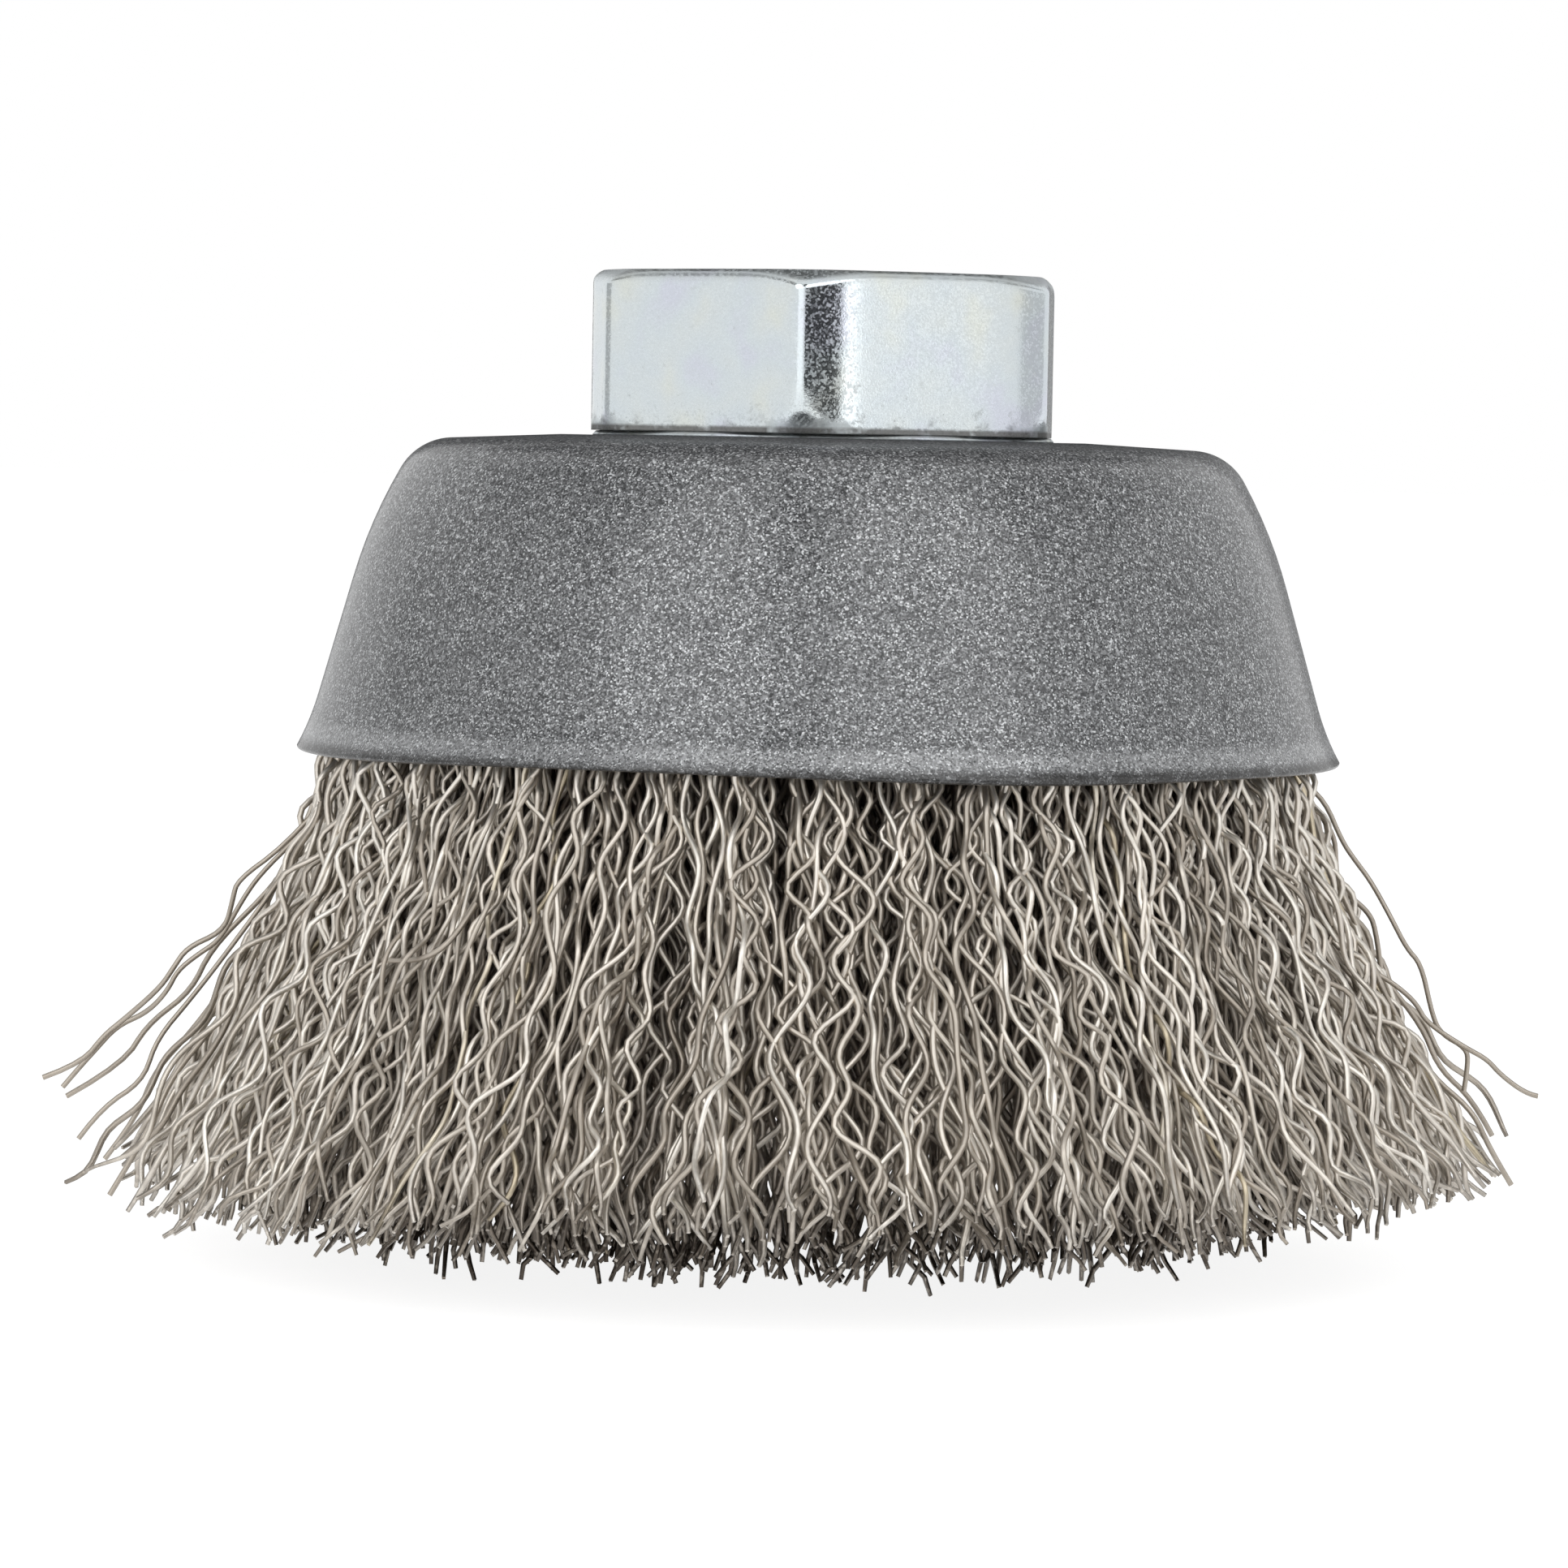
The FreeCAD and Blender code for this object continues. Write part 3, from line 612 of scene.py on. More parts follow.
def thread_tree():
    tree, recipe, given = new_tree("bore_thread", THREAD_INPUTS)
    columns, rows = given["Columns"], given["Rows"]
    grid = recipe.node(
        "GeometryNodeMeshGrid",
        {},
        {"Size X": 1.0, "Size Y": 1.0, "Vertices X": columns, "Vertices Y": rows},
    )
    index = recipe.node("GeometryNodeInputIndex")["Index"]
    column = (index / rows).math("FLOOR")
    row = index - column * rows
    turn = column / (columns - 1.0)
    # Four rows to the pitch: foot of a flank, crest, crest again, foot of the other flank
    quarter = row.math("MODULO", 4.0)
    turns_up = (row / 4.0).math("FLOOR") - 2.0
    shift = quarter * FLANK_SHARE + quarter.above(1.5, 0.01) * CREST_MORE
    climb = (turns_up + shift + turn) * given["Pitch"] + given["Bottom"]
    height = climb.math("MAXIMUM", given["Bottom"]).math("MINIMUM", given["Top"])
    crest = quarter.above(0.5, 0.01) * (1.0 - quarter.above(2.5, 0.01))
    ridge = given["Thread Radius"] - crest * (given["Thread Radius"] - given["Core Radius"])
    # The countersinks lean at 45 degrees from the mouths
    lower = given["Mouth Radius"] - (height - given["Bottom"])
    upper = given["Mouth Radius"] - (given["Top"] - height)
    inner = ridge.math("MAXIMUM", lower).math("MAXIMUM", upper)
    # The first row and the last two close the sleeve round its hidden back
    last = rows - 1.0
    at_start = 1.0 - row.math("GREATER_THAN", 0.5)
    at_back = row.math("GREATER_THAN", last - 1.5)
    at_end = row.math("GREATER_THAN", last - 0.5)
    back = at_start.math("MAXIMUM", at_back)
    radius = inner + (given["Wall Radius"] - inner) * back
    low_row = at_start.math("MAXIMUM", at_end)
    up = height + (given["Top"] - height) * at_back
    up = up + (given["Bottom"] - up) * low_row
    angle = turn * math.tau
    place = recipe.node(
        "ShaderNodeCombineXYZ",
        {},
        {0: radius * angle.math("COSINE"), 1: radius * angle.math("SINE"), 2: up},
    )
    set_place = recipe.node(
        "GeometryNodeSetPosition", {}, {"Geometry": grid["Mesh"], "Position": place[0]}
    )
    merged = recipe.node(
        "GeometryNodeMergeByDistance", {}, {"Geometry": set_place[0], "Distance": 2 * SAME_SPOT}
    )
    shaded_and_painted(recipe, merged[0], given["Finish"])
    return tree


bore_thread = grow(
    "bore_thread",
    thread_tree(),
    {
        "Columns": 65,
        "Rows": 36,
        "Pitch": 2.0 * MM,
        "Core Radius": 5.9175 * MM,
        "Thread Radius": 7.0 * MM,
        "Mouth Radius": BORE,
        "Bottom": NUT_BOTTOM,
        "Top": NUT_TOP,
        "Wall Radius": 7.4 * MM,
        "Finish": zinc,
    },
)
print("bore thread:", len(bore_thread.data.polygons), "faces")

# %% [markdown]
# The crown is what the brush is: on the real one about three thousand ends of 0.3 mm wire, crimped so
# that they spring and keep apart. Here 2,440 ends that are a little thicker stand for them. Each wire
# is bent double over a ring inside the cup, leaves the cup close along its wall or straight down
# inside, and spreads below the rim to its own spot on the trimmed face. A hair system could scatter
# them, but their shape follows a rule, so Geometry Nodes place every point of every wire: its spot on
# the face, its spread, and a crimp whose plane, phase and height differ from wire to wire. The outer
# layers get the most points.

# %% Crimped wires
CROWN_INPUTS = (
    ("Wires", "Int"),
    ("Points", "Int"),
    ("Sides", "Int"),
    ("Wire Radius", "Float"),
    ("First Share", "Float"),
    ("Last Share", "Float"),
    ("Crimp Pitch", "Float"),
    ("Crimp Height", "Float"),
    ("Lean", "Float"),
    ("Splay", "Float"),
    ("Rim Height", "Float"),
    ("Rim Inner Radius", "Float"),
    ("Rim Outer Radius", "Float"),
    ("Tip Inner Radius", "Float"),
    ("Tip Outer Radius", "Float"),
    ("Face Rise", "Float"),
    ("Face Tilt", "Float"),
    ("Front Wear", "Float"),
    ("Ragged", "Float"),
    ("Ring Radius", "Float"),
    ("Ring Height", "Float"),
    ("Ring Wire", "Float"),
    ("Seed", "Int"),
    ("Finish", "Material"),
)


def between(inner, outer, share):
    """The radius that leaves a share of the ring's area between inner and outer inside it."""
    return (inner * inner + share * (outer * outer - inner * inner)).math("SQRT")


def crown_tree():
    tree, recipe, given = new_tree("crimped_wires", CROWN_INPUTS)
    wires, points = given["Wires"], given["Points"]
    index = recipe.node("GeometryNodeInputIndex")["Index"]
    wire = (index / points).math("FLOOR")
    place = index - wire * points

    def chance(number):
        """A number from 0 to 1 that stays the same along a wire."""
        sockets = {2: 0.0, 3: 1.0, "ID": wire, "Seed": given["Seed"] + number}
        return recipe.node("FunctionNodeRandomValue", {"data_type": "FLOAT"}, sockets)[1]

    share = given["First Share"] + (given["Last Share"] - given["First Share"]) * chance(1)
    angle = (wire + chance(2) * 1.6) / wires * math.tau
    rim_height = given["Rim Height"]
    rim = between(given["Rim Inner Radius"], given["Rim Outer Radius"], share)
    tip_share = (share + (chance(3) - 0.5) * 0.07).math("MAXIMUM", 0.0).math("MINIMUM", 1.0)
    tip_inner, tip_outer = given["Tip Inner Radius"], given["Tip Outer Radius"]
    tip = between(tip_inner, tip_outer, tip_share)
    outer_part = (tip - tip_inner) / (tip_outer - tip_inner)
    # The trimmed face is a shallow bowl, a little lower on one side, and its ends are ragged.
    # At the front, work has worn the outer wires shorter
    lopsided = given["Face Tilt"] * (angle - 0.6).math("COSINE") * outer_part
    uneven = given["Ragged"] * (chance(4) ** 0.6 + 0.5 * chance(17) ** 9.0)
    front = (0.0 - angle.math("SINE")).math("MAXIMUM", 0.0)
    worn_front = given["Front Wear"] * front**4.0 * outer_part * outer_part
    tip_height = given["Face Rise"] * outer_part**1.7 + lopsided + worn_front + uneven

    # From a little above the rim down to the tip, as points spread evenly over the height
    start = rim_height + 3.5 * MM
    along = ((place - 3.0) / (points - 4.0)).math("MAXIMUM", 0.0)
    height = start + (tip_height - start) * along
    fallen = ((rim_height - height) / (rim_height - tip_height)).math("MAXIMUM", 0.0)
    risen = (height - rim_height).math("MAXIMUM", 0.0) / (given["Ring Height"] - rim_height)
    side = share.math("GREATER_THAN", 0.5) * 2.0 - 1.0
    bend = given["Ring Wire"] + given["Wire Radius"] + 0.9 * MM * chance(5)
    ring_side = given["Ring Radius"] + side * bend
    spread = (tip - rim) * fallen**1.3
    line = rim + spread + (ring_side - rim) * risen
    slope = (tip - rim) * 1.3 * fallen**0.3 / (rim_height - tip_height)
    run = (1.0 + slope * slope).math("SQRT")

    # The crimp sets in at the rim, and its plane is the wire's own
    travel = (start - height) * (1.0 + 0.12 * share)
    pitch = given["Crimp Pitch"] * (0.80 + 0.5 * chance(6))
    drift = ((fallen * 1.2 + chance(15)) * math.tau).math("SINE") * 0.16
    wave = ((travel / pitch + drift + chance(7)) * math.tau).math("SINE")
    room = ((start - height) / (4.2 * MM)).math("MINIMUM", 1.0)
    swell = 1.0 + 0.28 * ((fallen * 1.6 + chance(16)) * math.tau).math("SINE")
    swing = given["Crimp Height"] * (0.34 + 0.26 * chance(8)) * swell * room * room * wave
    plane = chance(9) * math.tau
    out_swing = swing * plane.math("COSINE")
    side_swing = swing * plane.math("SINE")
    # Few wires stay straight in their own slot: they lean and bow sideways, some of them far
    far = chance(10) * 2.0 - 1.0
    lean = given["Lean"] * (0.35 * far + 0.65 * far * far * far) * fallen
    bow = ((fallen * 1.1 + chance(11)) * math.tau).math("SINE") * (fallen + 0.15) * (0.85 * MM)
    bow = bow + ((fallen * 3.1 + chance(20)) * math.tau).math("SINE") * room * (0.28 * MM)
    push = ((fallen * 0.8 + chance(12)) * math.tau).math("SINE") * fallen * (0.4 * MM)
    # The outermost wires are splayed a little, a few of them by some millimetres
    push = push + given["Splay"] * chance(14) ** 6.0 * fallen**1.5
    # Wires gather in bundles where they leave the cup, and in tufts towards the trimmed face
    bundle = (angle * 41.0 + 1.3).math("SINE") * (1.0 - fallen) * (0.45 * MM)
    tuft = (angle * 31.0 + share * 5.0).math("SINE") * 0.55 + (angle * 47.0).math("SINE") * 0.3
    # Cutting and work have hooked the last millimetre or two
    hook = ((fallen - 0.87) / 0.13).math("MAXIMUM", 0.0) ** 2.0
    push = push + hook * (chance(18) - 0.5) * (1.3 * MM)
    hooked = hook * (chance(19) - 0.5) * (1.3 * MM)
    sideways = side_swing + lean + bow + tuft * fallen * MM + bundle + hooked

    # The first three points lie on the holding ring
    on_ring = 1.0 - place.math("GREATER_THAN", 2.5)
    round_ring = (2.0 - place) * (math.pi / 4)
    ring_line = given["Ring Radius"] + side * bend * round_ring.math("COSINE")
    ring_up = given["Ring Height"] + bend * round_ring.math("SINE")
    radius = line + out_swing / run + push
    up = height + out_swing * slope / run
    radius = radius + (ring_line - radius) * on_ring
    up = (up + (ring_up - up) * on_ring).math("MAXIMUM", 0.0)
    sideways = sideways * (1.0 - on_ring)
    cosine, sine = angle.math("COSINE"), angle.math("SINE")
    spot = recipe.node(
        "ShaderNodeCombineXYZ",
        {},
        {0: radius * cosine - sideways * sine, 1: radius * sine + sideways * cosine, 2: up},
    )
    dots = recipe.node("GeometryNodePoints", {}, {"Count": wires * points, "Position": spot[0]})
    geometry = dots[0]
    for label, value in (("tone", chance(13)), ("fallen", fallen), ("share", share)):
        kept = recipe.node(
            "GeometryNodeStoreNamedAttribute",
            {"data_type": "FLOAT", "domain": "POINT"},
            {"Geometry": geometry, "Name": label, "Value": value},
        )
        geometry = kept[0]
    lines = recipe.node(
        "GeometryNodePointsToCurves",
        {},
        {"Points": geometry, "Curve Group ID": wire, "Weight": place},
    )
    section = recipe.node(
        "GeometryNodeCurvePrimitiveCircle",
        {},
        {"Resolution": given["Sides"], "Radius": given["Wire Radius"]},
    )
    # Torn and ground ends are thinner than the wire
    down_wire = recipe.node(
        "GeometryNodeInputNamedAttribute", {"data_type": "FLOAT"}, {"Name": "fallen"}
    )
    end = down_wire[0].above(0.965, 0.07)
    tubes = recipe.node(
        "GeometryNodeCurveToMesh",
        {},
        {
            "Curve": lines[0],
            "Profile Curve": section[0],
            "Scale": 1.0 - 0.28 * end,
            "Fill Caps": True,
        },
    )
    shaded_and_painted(recipe, tubes[0], given["Finish"])
    return tree


CROWN = {
    "Crimp Pitch": 4.7 * MM,
    "Crimp Height": 1.1 * MM,
    "Lean": 4.4 * MM,
    "Rim Height": RIM_HEIGHT,
    "Rim Inner Radius": 17.2 * MM,
    "Rim Outer Radius": 26.15 * MM,
    "Tip Inner Radius": 15.8 * MM,
    "Tip Outer Radius": 36.4 * MM,
    "Face Rise": 3.5 * MM,
    "Face Tilt": 1.1 * MM,
    "Front Wear": 2.1 * MM,
    "Ragged": 2.2 * MM,
    "Ring Radius": 19.07 * MM,
    "Ring Height": 39.24 * MM,
    "Ring Wire": 1.3 * MM,
    "Finish": drawn,
}
# Name, ends, points and sides of each, wire radius and splay in millimetres, the layer's first and
# last place from inside (0) to outside (1), and its seed
LAYERS = (
    ("outer_wires", 300, 64, 4, 0.168, 3.4, 0.80, 1.00, 11),
    ("second_wires", 300, 64, 4, 0.168, 1.6, 0.76, 0.98, 41),
    ("third_wires", 380, 50, 4, 0.172, 0.5, 0.58, 0.80, 71),
    ("fourth_wires", 380, 50, 4, 0.172, 0.0, 0.44, 0.66, 83),
    ("fifth_wires", 560, 40, 3, 0.185, 0.0, 0.22, 0.46, 101),
    ("inner_wires", 520, 36, 3, 0.185, 0.0, 0.00, 0.24, 131),
)
crown = crown_tree()
wire_layers = []
for name, wires, points, sides, radius, splay, first, last, seed in LAYERS:
    given = dict(CROWN)
    given.update({"Wires": wires, "Points": points, "Sides": sides, "Wire Radius": radius * MM})
    given.update({"Splay": splay * MM, "First Share": first, "Last Share": last, "Seed": seed})
    layer = grow(name, crown, given)
    wire_layers.append(layer)
    triangles = sum(len(p.vertices) - 2 for p in layer.data.polygons)
    print(name, wires, "ends,", triangles, "triangles")

# %% [markdown]
# A worn brush lets a few wires stray. They are placed one by one, each as a smooth line along a few
# points given as (to the right, up, towards the viewer) in millimetres, and given the wire's thickness
# by a bevel. They start inside the crown, so that none of them floats.

# %% Stray wires
STRAY_RADIUS = 0.15 * MM
STRAY_MARKS = (("tone", 0.06), ("fallen", 0.7), ("share", 1.0))
STRAYS = (
    (
        (-25.9, 24, 2), (-28.0, 21.5, 2), (-30.6, 19.6, 2), (-30.8, 18.6, 2), (-31.3, 16.8, 1),
        (-33.3, 15.9, 1), (-34.0, 14.8, 1), (-34.7, 13.7, 1), (-36.7, 11.9, 0), (-37.8, 11.0, 0),
        (-38.9, 9.5, 0), (-41.0, 8.7, 0),
    ),
    (
        (-25.8, 24, -2), (-27.6, 21.8, -2), (-29.7, 19.7, -2), (-30.7, 18.2, -2), (-31.9, 16.0, -3),
        (-33.1, 15.2, -3), (-34.2, 14.3, -3), (-34.7, 13.2, -3), (-35.9, 11.9, -4), (-37.5, 11.2, -4),
        (-38.7, 9.8, -4), (-39.5, 8.9, -4), (-40.4, 7.8, -4),
    ),
    (
        (26.0, 25.6, 1), (26.9, 25.0, 1), (27.9, 22.7, 1), (28.7, 21.6, 1), (29.5, 20.6, 1),
        (30.5, 18.8, 2), (31.4, 17.1, 2), (32.2, 16.3, 2), (32.8, 13.7, 2), (33.3, 12.6, 2),
        (34.7, 11.9, 2), (34.8, 11.0, 2), (34.6, 9.6, 2),
    ),
    (
        (25.6, 21.5, 4), (27.4, 17.2, 4), (29.5, 16.0, 4), (30.6, 15.4, 4), (31.8, 14.4, 4),
        (32.3, 13.4, 4), (34.4, 12.1, 4), (35.6, 11.5, 4), (36.3, 10.7, 4), (37.7, 9.7, 4),
        (38.3, 9.6, 4),
    ),
    (
        (25.7, 25.2, -1), (26.6, 24.3, -1), (27.7, 22.9, -1), (27.8, 21.3, -1), (28.0, 20.4, -2),
        (28.7, 19.5, -2), (29.6, 18.8, -2), (30.1, 17.9, -2), (30.4, 15.7, -2),
    ),
    (
        (-25.6, 24.5, -3), (-27.2, 21.8, -4), (-29.2, 18.8, -4), (-32.5, 15.5, -4),
        (-33.6, 13.0, -5), (-36.0, 11.2, -5), (-37.2, 9.0, -5), (-40.3, 7.2, -5),
    ),
    (
        (-26.4, 22.5, 3), (-28.6, 19.2, 3), (-30.5, 16.5, 3), (-32.8, 13.4, 3),
        (-34.6, 11.2, 4), (-35.2, 9.0, 4), (-37.4, 7.6, 4), (-38.6, 5.9, 4),
    ),
    (
        (-26.6, 20.5, -5), (-29.6, 16.6, -6), (-31.9, 13.2, -6), (-33.8, 10.6, -6),
        (-35.8, 8.4, -7), (-36.6, 6.0, -7), (-38.4, 3.6, -7),
    ),
    (
        (-26.4, 19.5, 5), (-29.2, 15.6, 6), (-31.3, 12.2, 6), (-33.6, 9.4, 6), (-34.4, 7.0, 7),
        (-36.6, 3.3, 7),
    ),
    (
        (26.0, 22.8, -4), (28.6, 18.6, -5), (30.6, 15.2, -5), (33.0, 12.4, -5), (34.0, 10.0, -6),
        (35.9, 8.4, -6), (37.0, 6.4, -6),
    ),
    (
        (26.4, 20.6, 4), (29.2, 16.6, 5), (30.9, 13.3, 5), (32.6, 10.6, 5), (34.7, 9.0, 6),
        (35.6, 7.0, 6), (36.8, 5.1, 6),
    ),
    (
        (-21.6, 16.9, 19.4), (-20.7, 17.0, 21.2), (-19.2, 17.3, 22.7), (-17.8, 18.4, 23.2),
        (-16.9, 20.0, 21.8),
    ),
)


def make_strays():
    across = Vector((math.cos(CAMERA_TURN), math.sin(CAMERA_TURN), 0))
    nearer = Vector((math.sin(CAMERA_TURN), -math.cos(CAMERA_TURN), 0))
    curve = bpy.data.curves.new("stray_wires", "CURVE")
    curve.dimensions = "3D"
    curve.bevel_depth = STRAY_RADIUS
    curve.bevel_resolution = 1
    curve.use_fill_caps = True
    curve.resolution_u = 4
    for route in STRAYS:
        spline = curve.splines.new("NURBS")
        spline.points.add(len(route) - 1)
        for point, (right, up, near) in zip(spline.points, route):
            place = (across * right + nearer * near + Vector((0, 0, up))) * MM
            point.co = (*place, 1.0)
        spline.order_u = 3
        spline.use_endpoint_u = True
    maker = bpy.data.objects.new("stray_maker", curve)
    bpy.context.scene.collection.objects.link(maker)
    graph = bpy.context.evaluated_depsgraph_get()
    mesh = bpy.data.meshes.new_from_object(maker.evaluated_get(graph))
    bpy.data.objects.remove(maker)
    mesh.name = "stray_wires"
    for label, value in STRAY_MARKS:
        marks = mesh.attributes.new(label, "FLOAT", "POINT")
        marks.data.foreach_set("value", [value] * len(mesh.vertices))
    mesh.materials.clear()
    mesh.materials.append(drawn)
    return smooth_piece("stray_wires", mesh)


stray_wires = make_strays()
print("stray wires:", len(STRAYS), "wires,", len(stray_wires.data.polygons), "faces")

# %% [markdown]
# Four finishes dress the pieces. Each one starts from where a point lies on the brush, in metres, so
# that a grain of 0.15 mm is a noise scale of about 6,700. Bright zinc plating is a metal with a fine
# grain, a faint play of colour, and dark smudges where the milled edges left a burr.

# %% Zinc plating
ZINC_GRAIN = 9500.0
ZINC_FLECKS = 9000.0
ZINC_TINTS = (
    (0.30, (0.64, 0.67, 0.75)),
    (0.45, (0.65, 0.71, 0.74)),
    (0.58, (0.67, 0.72, 0.73)),
    (0.72, (0.70, 0.73, 0.68)),
)
RUBBED_ZINC = (0.42, 0.44, 0.43)
ZINC_SPECK = (0.42, 0.45, 0.46)
GRIME = (0.16, 0.15, 0.14)


def surface(recipe, base, rough, metal, bump, more=None):
    """Ends a finish with its shader."""
    sockets = {"Base Color": base, "Roughness": rough, "Metallic": metal, "Normal": bump}
    sockets.update(more or {})
    shader = recipe.node("ShaderNodeBsdfPrincipled", {}, sockets)
    recipe.node("ShaderNodeOutputMaterial", {}, {"Surface": shader[0]})


def grain(recipe, where, scale, detail=2.0, roughness=0.5):
    sockets = {"Vector": where, "Scale": scale, "Detail": detail, "Roughness": roughness}
    return recipe.node("ShaderNodeTexNoise", {}, sockets)["Fac"]


def flake_chances(recipe, where, scale):
    """Three numbers from 0 to 1, as Red, Green and Blue, that are the same all over a flake."""
    flakes = recipe.node("ShaderNodeTexVoronoi", {}, {"Vector": where, "Scale": scale})
    return recipe.node("ShaderNodeSeparateColor", {}, {0: flakes["Color"]})


def tinted(recipe, stops, value):
    return recipe.node("ShaderNodeValToRGB", {"stops": stops}, {"Fac": value})["Color"]


def bumped(recipe, height, strength, depth):
    sockets = {"Strength": strength, "Distance": depth, "Height": height}
    return recipe.node("ShaderNodeBump", {}, sockets)[0]


def where_on_brush(recipe):
    """The point on the brush, and its radius and height in millimetres."""
    place = recipe.node("ShaderNodeTexCoord")["Object"]
    parts = recipe.node("ShaderNodeSeparateXYZ", {}, {0: place})
    radius = (parts["X"] * parts["X"] + parts["Y"] * parts["Y"]).math("SQRT") / MM
    return place, radius, parts["Z"] / MM


def fill_zinc(recipe):
    place, radius, height = where_on_brush(recipe)
    above_foot = height - NUT_FOOT / MM
    cloud = grain(recipe, place, 320.0)
    tint = tinted(recipe, ZINC_TINTS, cloud)
    fine = grain(recipe, place, ZINC_GRAIN)
    scuff = grain(recipe, place, 1500.0, 4.0, 0.65).above(0.66, 0.1)
    edge_noise = grain(recipe, place, 900.0, 3.0)
    # Burrs and smudges along the hexagon's lower edge
    burr = 1.0 - (above_foot - 0.11).math("ABSOLUTE").above(0.2, 0.16)
    low_band = 1.0 - (above_foot - 0.15).math("ABSOLUTE").above(0.6, 0.7)
    smudge = low_band * edge_noise.above(0.6, 0.15)
    low = (burr * edge_noise.above(0.36, 0.2)).math("MAXIMUM", smudge * 0.6)
    low = low * radius.above(11.9, 0.1)
    edge = height.above(51.55, 0.3)
    worn = recipe.mix((scuff + edge).math("MINIMUM", 1.0) * 0.35, tint, RUBBED_ZINC)
    dirty = recipe.mix(low * 0.85, worn, GRIME)
    speck = recipe.mix((fine - 0.5) * 0.5 + 0.12, dirty, ZINC_SPECK)
    fleck = flake_chances(recipe, place, ZINC_FLECKS)["Red"].above(0.7, 0.5)
    # The collar and the hexagon's foot are duller than its faces
    collar = 1.0 - above_foot.above(0.03, 0.03)
    foot = (1.0 - above_foot.above(0.6, 0.5)) * radius.above(12.75, 0.25)
    rough = 0.08 + 0.06 * cloud + 0.2 * fleck + 0.2 * scuff + 0.3 * low + 0.2 * edge
    rough = rough + 0.3 * collar + 0.3 * foot
    # The lathe has left fine rings on the nut's top
    ring_place = recipe.node("ShaderNodeCombineXYZ", {}, {0: radius, 1: 0.0, 2: 0.0})[0]
    rings = grain(recipe, ring_place, 7.0, 3.0) * height.above(52.1, 0.04) * 3.0
    relief = fine + 0.3 * scuff + rings
    surface(recipe, speck, rough, 1.0, bumped(recipe, relief, 0.3, 0.012 * MM))


fill_zinc(zinc_recipe)
hexagon_nut.data.materials.append(zinc)
print("zinc plating: grain of", round(1000 / ZINC_GRAIN, 2), "mm")

# %% [markdown]
# The cup is sprayed with a grey paint full of metal flakes. A Voronoi texture gives every flake its
# own grey and a slight tilt, which makes the speckle, and a clear coat lies on top, but for the crown,
# which is dull and painted darker, as painted shade under the nut. A paler band above the lip is a
# painted highlight, and the lip's lower edge is painted dark, as shade under the lip and rubbed wear.

# %% Speckled paint
FLAKE_SCALE = 12000.0
FLAKE_GREYS = (
    (0.0, (0.03, 0.031, 0.033)),
    (0.30, (0.085, 0.087, 0.09)),
    (0.60, (0.172, 0.176, 0.181)),
    (0.86, (0.315, 0.323, 0.332)),
    (1.0, (0.72, 0.735, 0.75)),
)
BINDER = (0.17, 0.172, 0.175)
# Painted shade for the crown, a painted highlight for the lip's flare, and painted shade with wear for
# the lip's lower edge
CUP_CROWN_SHADE = (0.045, 0.046, 0.048)
PAINTED_LIP_HIGHLIGHT = (0.62, 0.63, 0.64)
LIP_SHADE_AND_WEAR = (0.03, 0.029, 0.028)


def fill_paint(recipe):
    place, _, height = where_on_brush(recipe)
    above_rim = height - RIM_HEIGHT / MM
    flake = flake_chances(recipe, place, FLAKE_SCALE)
    speckle = tinted(recipe, FLAKE_GREYS, flake["Red"])
    cloud = grain(recipe, place, 420.0, 3.0)
    clouded = recipe.mix((cloud - 0.35) * 0.5, speckle, BINDER)
    # The crown is painted darker, as painted shade under the nut, and it has no clear coat
    crown = height.above(42.8, 1.3)
    shaded = recipe.mix(crown * 0.65, clouded, CUP_CROWN_SHADE)
    # A band of flakes above the lip is painted paler, as a painted highlight on the flare
    run = (1.0 - (above_rim - 1.25).math("ABSOLUTE").above(0.45, 0.5)) * flake["Green"]
    lip_highlighted = recipe.mix(run * 0.4, shaded, PAINTED_LIP_HIGHLIGHT)
    # The lip's lower edge is painted dark in patches: painted shade under the lip, with rubbed wear
    patches = 0.6 + 0.4 * grain(recipe, place, 1300.0).above(0.5, 0.3)
    lip = (1.0 - above_rim.above(0.72, 0.34)) * patches
    lip_shade_and_wear = recipe.mix(lip * 0.9, lip_highlighted, LIP_SHADE_AND_WEAR)
    rough = 0.38 + 0.16 * flake["Green"]
    relief = flake["Blue"] * 0.6 + grain(recipe, place, 2600.0) * 1.2
    bump = bumped(recipe, relief, 0.22, 0.02 * MM)
    clear = {
        "Coat Weight": 0.6 - 0.6 * crown,
        "Coat Roughness": 0.18,
        "Specular IOR Level": 0.0,
    }
    surface(recipe, lip_shade_and_wear, rough, 0.5 - 0.5 * crown, bump, clear)


fill_paint(paint_recipe)
pressed_cup.data.materials.append(paint)
print("speckled paint: flakes of", round(1000 / FLAKE_SCALE, 2), "mm")

# %% [markdown]
# The wires are drawn steel, greyed by use. Each wire has its own tone, kept on its points as an
# attribute, and a few are brassy. The wires inside the crown are painted darker, as the shade among
# them, most near the cup, and the tips darker still, as painted shade with some burn. The ring and
# the inner plate are plain steel with a fine mottle and a darker film.

# %% Drawn wire and plain steel
WIRE_TONES = (
    (0.0, (0.42, 0.375, 0.32)),
    (0.30, (0.65, 0.60, 0.53)),
    (0.62, (0.78, 0.73, 0.66)),
    (0.975, (0.90, 0.86, 0.79)),
    (0.98, (0.68, 0.60, 0.45)),
)
WIRE_FILM = (0.34, 0.30, 0.255)
# Painted shade inside the crown, and painted shade with some burn at the tips
WIRE_INNER_SHADE = (0.13, 0.096, 0.07)
TIP_SHADE_AND_BURN = (0.065, 0.052, 0.042)
STEEL_DARK = (0.30, 0.295, 0.285)
STEEL_PALE = (0.47, 0.465, 0.455)


def wire_mark(recipe, name):
    """A number that the crown's points carry."""
    return recipe.node("ShaderNodeAttribute", {"attribute_name": name})["Fac"]


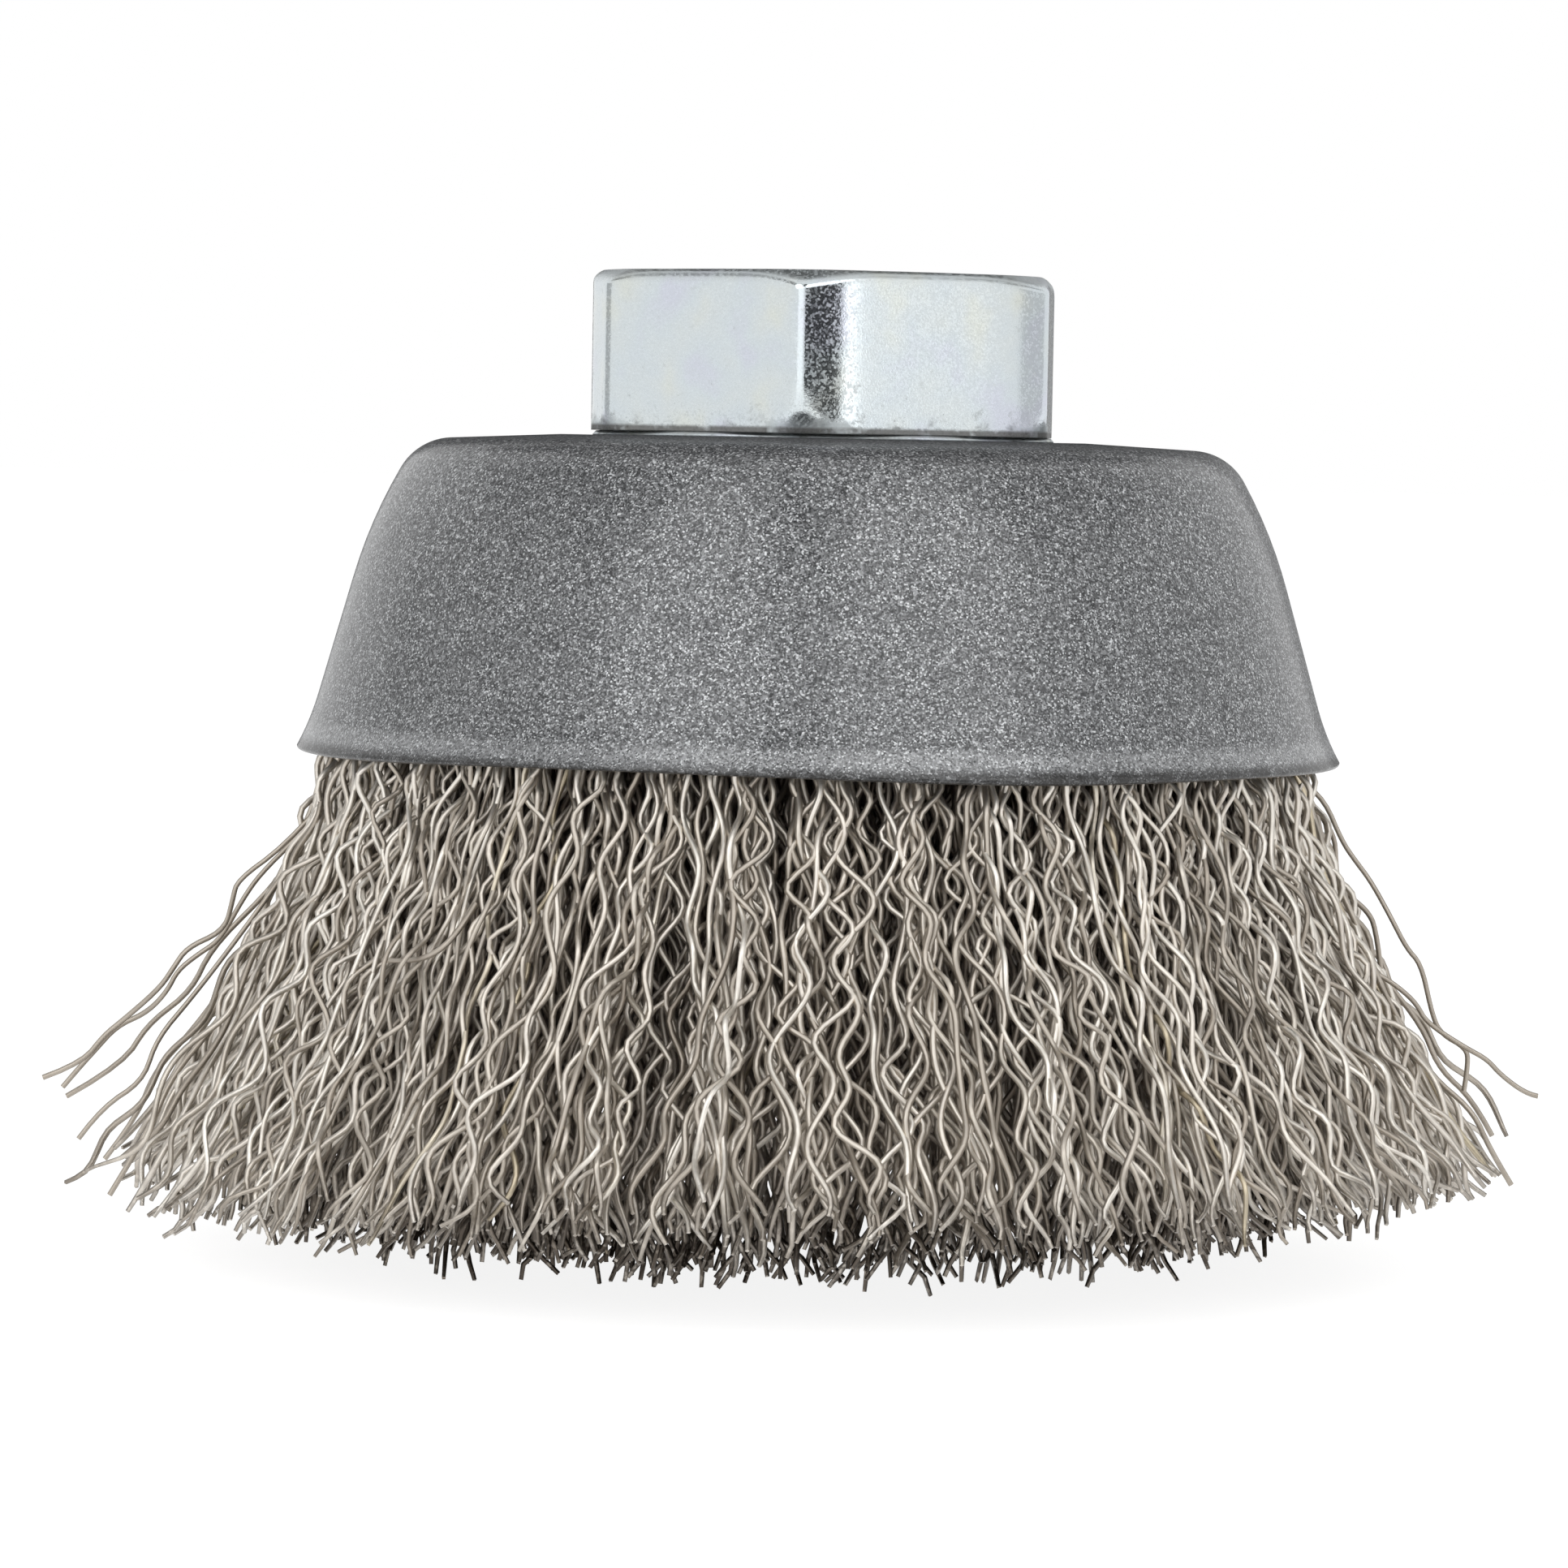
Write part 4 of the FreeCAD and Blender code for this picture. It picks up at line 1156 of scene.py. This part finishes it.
def fill_wire(recipe):
    place, radius, _ = where_on_brush(recipe)
    tone = wire_mark(recipe, "tone")
    fallen = wire_mark(recipe, "fallen")
    share = wire_mark(recipe, "share")
    own = tinted(recipe, WIRE_TONES, tone)
    film = grain(recipe, place, 700.0, 3.0)
    filmed = recipe.mix((film - 0.42) * (0.9 + 0.9 * fallen), own, WIRE_FILM)
    # Painted shade: wires inside the crown are darker, most near the cup, where less light reaches them
    inner_shade = (1.0 - share.above(0.72, 0.26)) * (0.62 - 0.25 * fallen)
    inner_shaded = recipe.mix(inner_shade, filmed, WIRE_INNER_SHADE)
    # Tips are painted darker, above all those inside the crown: painted shade, with some burn, by an
    # amount of each wire's own. Fine noise leaves brighter spots in it, which glint
    inner = 1.0 - radius.above(30.5, 4.0)
    outer_tip = fallen.above(0.955, 0.08) * (0.5 + 0.5 * inner)
    tip = outer_tip.math("MAXIMUM", inner * fallen.above(0.87, 0.12))
    tip_by_wire = (tone * 13.0).math("FRACT")
    glint = grain(recipe, place, 2400.0, 3.0).above(0.57, 0.1)
    tip = tip * (0.7 + 0.28 * tip_by_wire) * (1.0 - 0.7 * glint)
    tip_shaded = recipe.mix(tip, inner_shaded, TIP_SHADE_AND_BURN)
    fine = grain(recipe, place, 5200.0)
    rough = 0.38 + 0.14 * film - 0.14 * tip
    surface(recipe, tip_shaded, rough, 0.95, bumped(recipe, fine, 0.15, 0.01 * MM))


def fill_plain(recipe):
    place = where_on_brush(recipe)[0]
    mottle = grain(recipe, place, 900.0, 4.0, 0.6)
    base = recipe.mix(mottle.above(0.5, 0.35), STEEL_DARK, STEEL_PALE)
    fine = grain(recipe, place, 5000.0)
    surface(recipe, base, 0.34 + 0.2 * mottle, 0.9, bumped(recipe, fine, 0.2, 0.01 * MM))


fill_wire(drawn_recipe)
fill_plain(plain_recipe)
for name in ("holding_ring", "inner_plate"):
    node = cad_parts[name]
    node.data.materials.clear()
    node.data.materials.append(plain)
print("wire and plain steel are filled")

# %% [markdown]
# Each new piece rides on the brush's one body. The list gives each one a finish name and the solids it
# stands for, and those solids are hidden. The holding ring and the inner plate are the solids
# themselves.

# %% Pieces on the body
DRESSED = [
    (pressed_cup, "painted_cup", ("cup",)),
    (hexagon_nut, "plated_nut", ("arbor_nut",)),
    (bore_thread, "plated_nut", ("arbor_nut",)),
    (stray_wires, "wire", ()),
]
ROWS = ("wires_first_row", "wires_second_row", "wires_third_row", "wires_fourth_row")
for place, layer in enumerate(wire_layers):
    DRESSED.append((layer, "wire", (ROWS[min(place, len(ROWS) - 1)],)))
for piece, finish, solids in DRESSED:
    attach(piece, "root")
    if solids:
        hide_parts(*solids)
print(len(DRESSED), "pieces dress the brush")

# %% [markdown]
# Last, both boxes are kept: the solids' own and the dressed brush's, which may stand only a little
# outside it.

# %% Scene settings and sizes
bpy.context.scene.view_settings.view_transform = "Standard"
dressed_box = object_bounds()
sizes = {
    "cad": [[float(v) for v in corner] for corner in solid_box],
    "visual": [[float(v) for v in corner] for corner in dressed_box],
}
print("solids", [[round(v / MM, 1) for v in corner] for corner in sizes["cad"]])
print("dressed", [[round(v / MM, 1) for v in corner] for corner in sizes["visual"]])
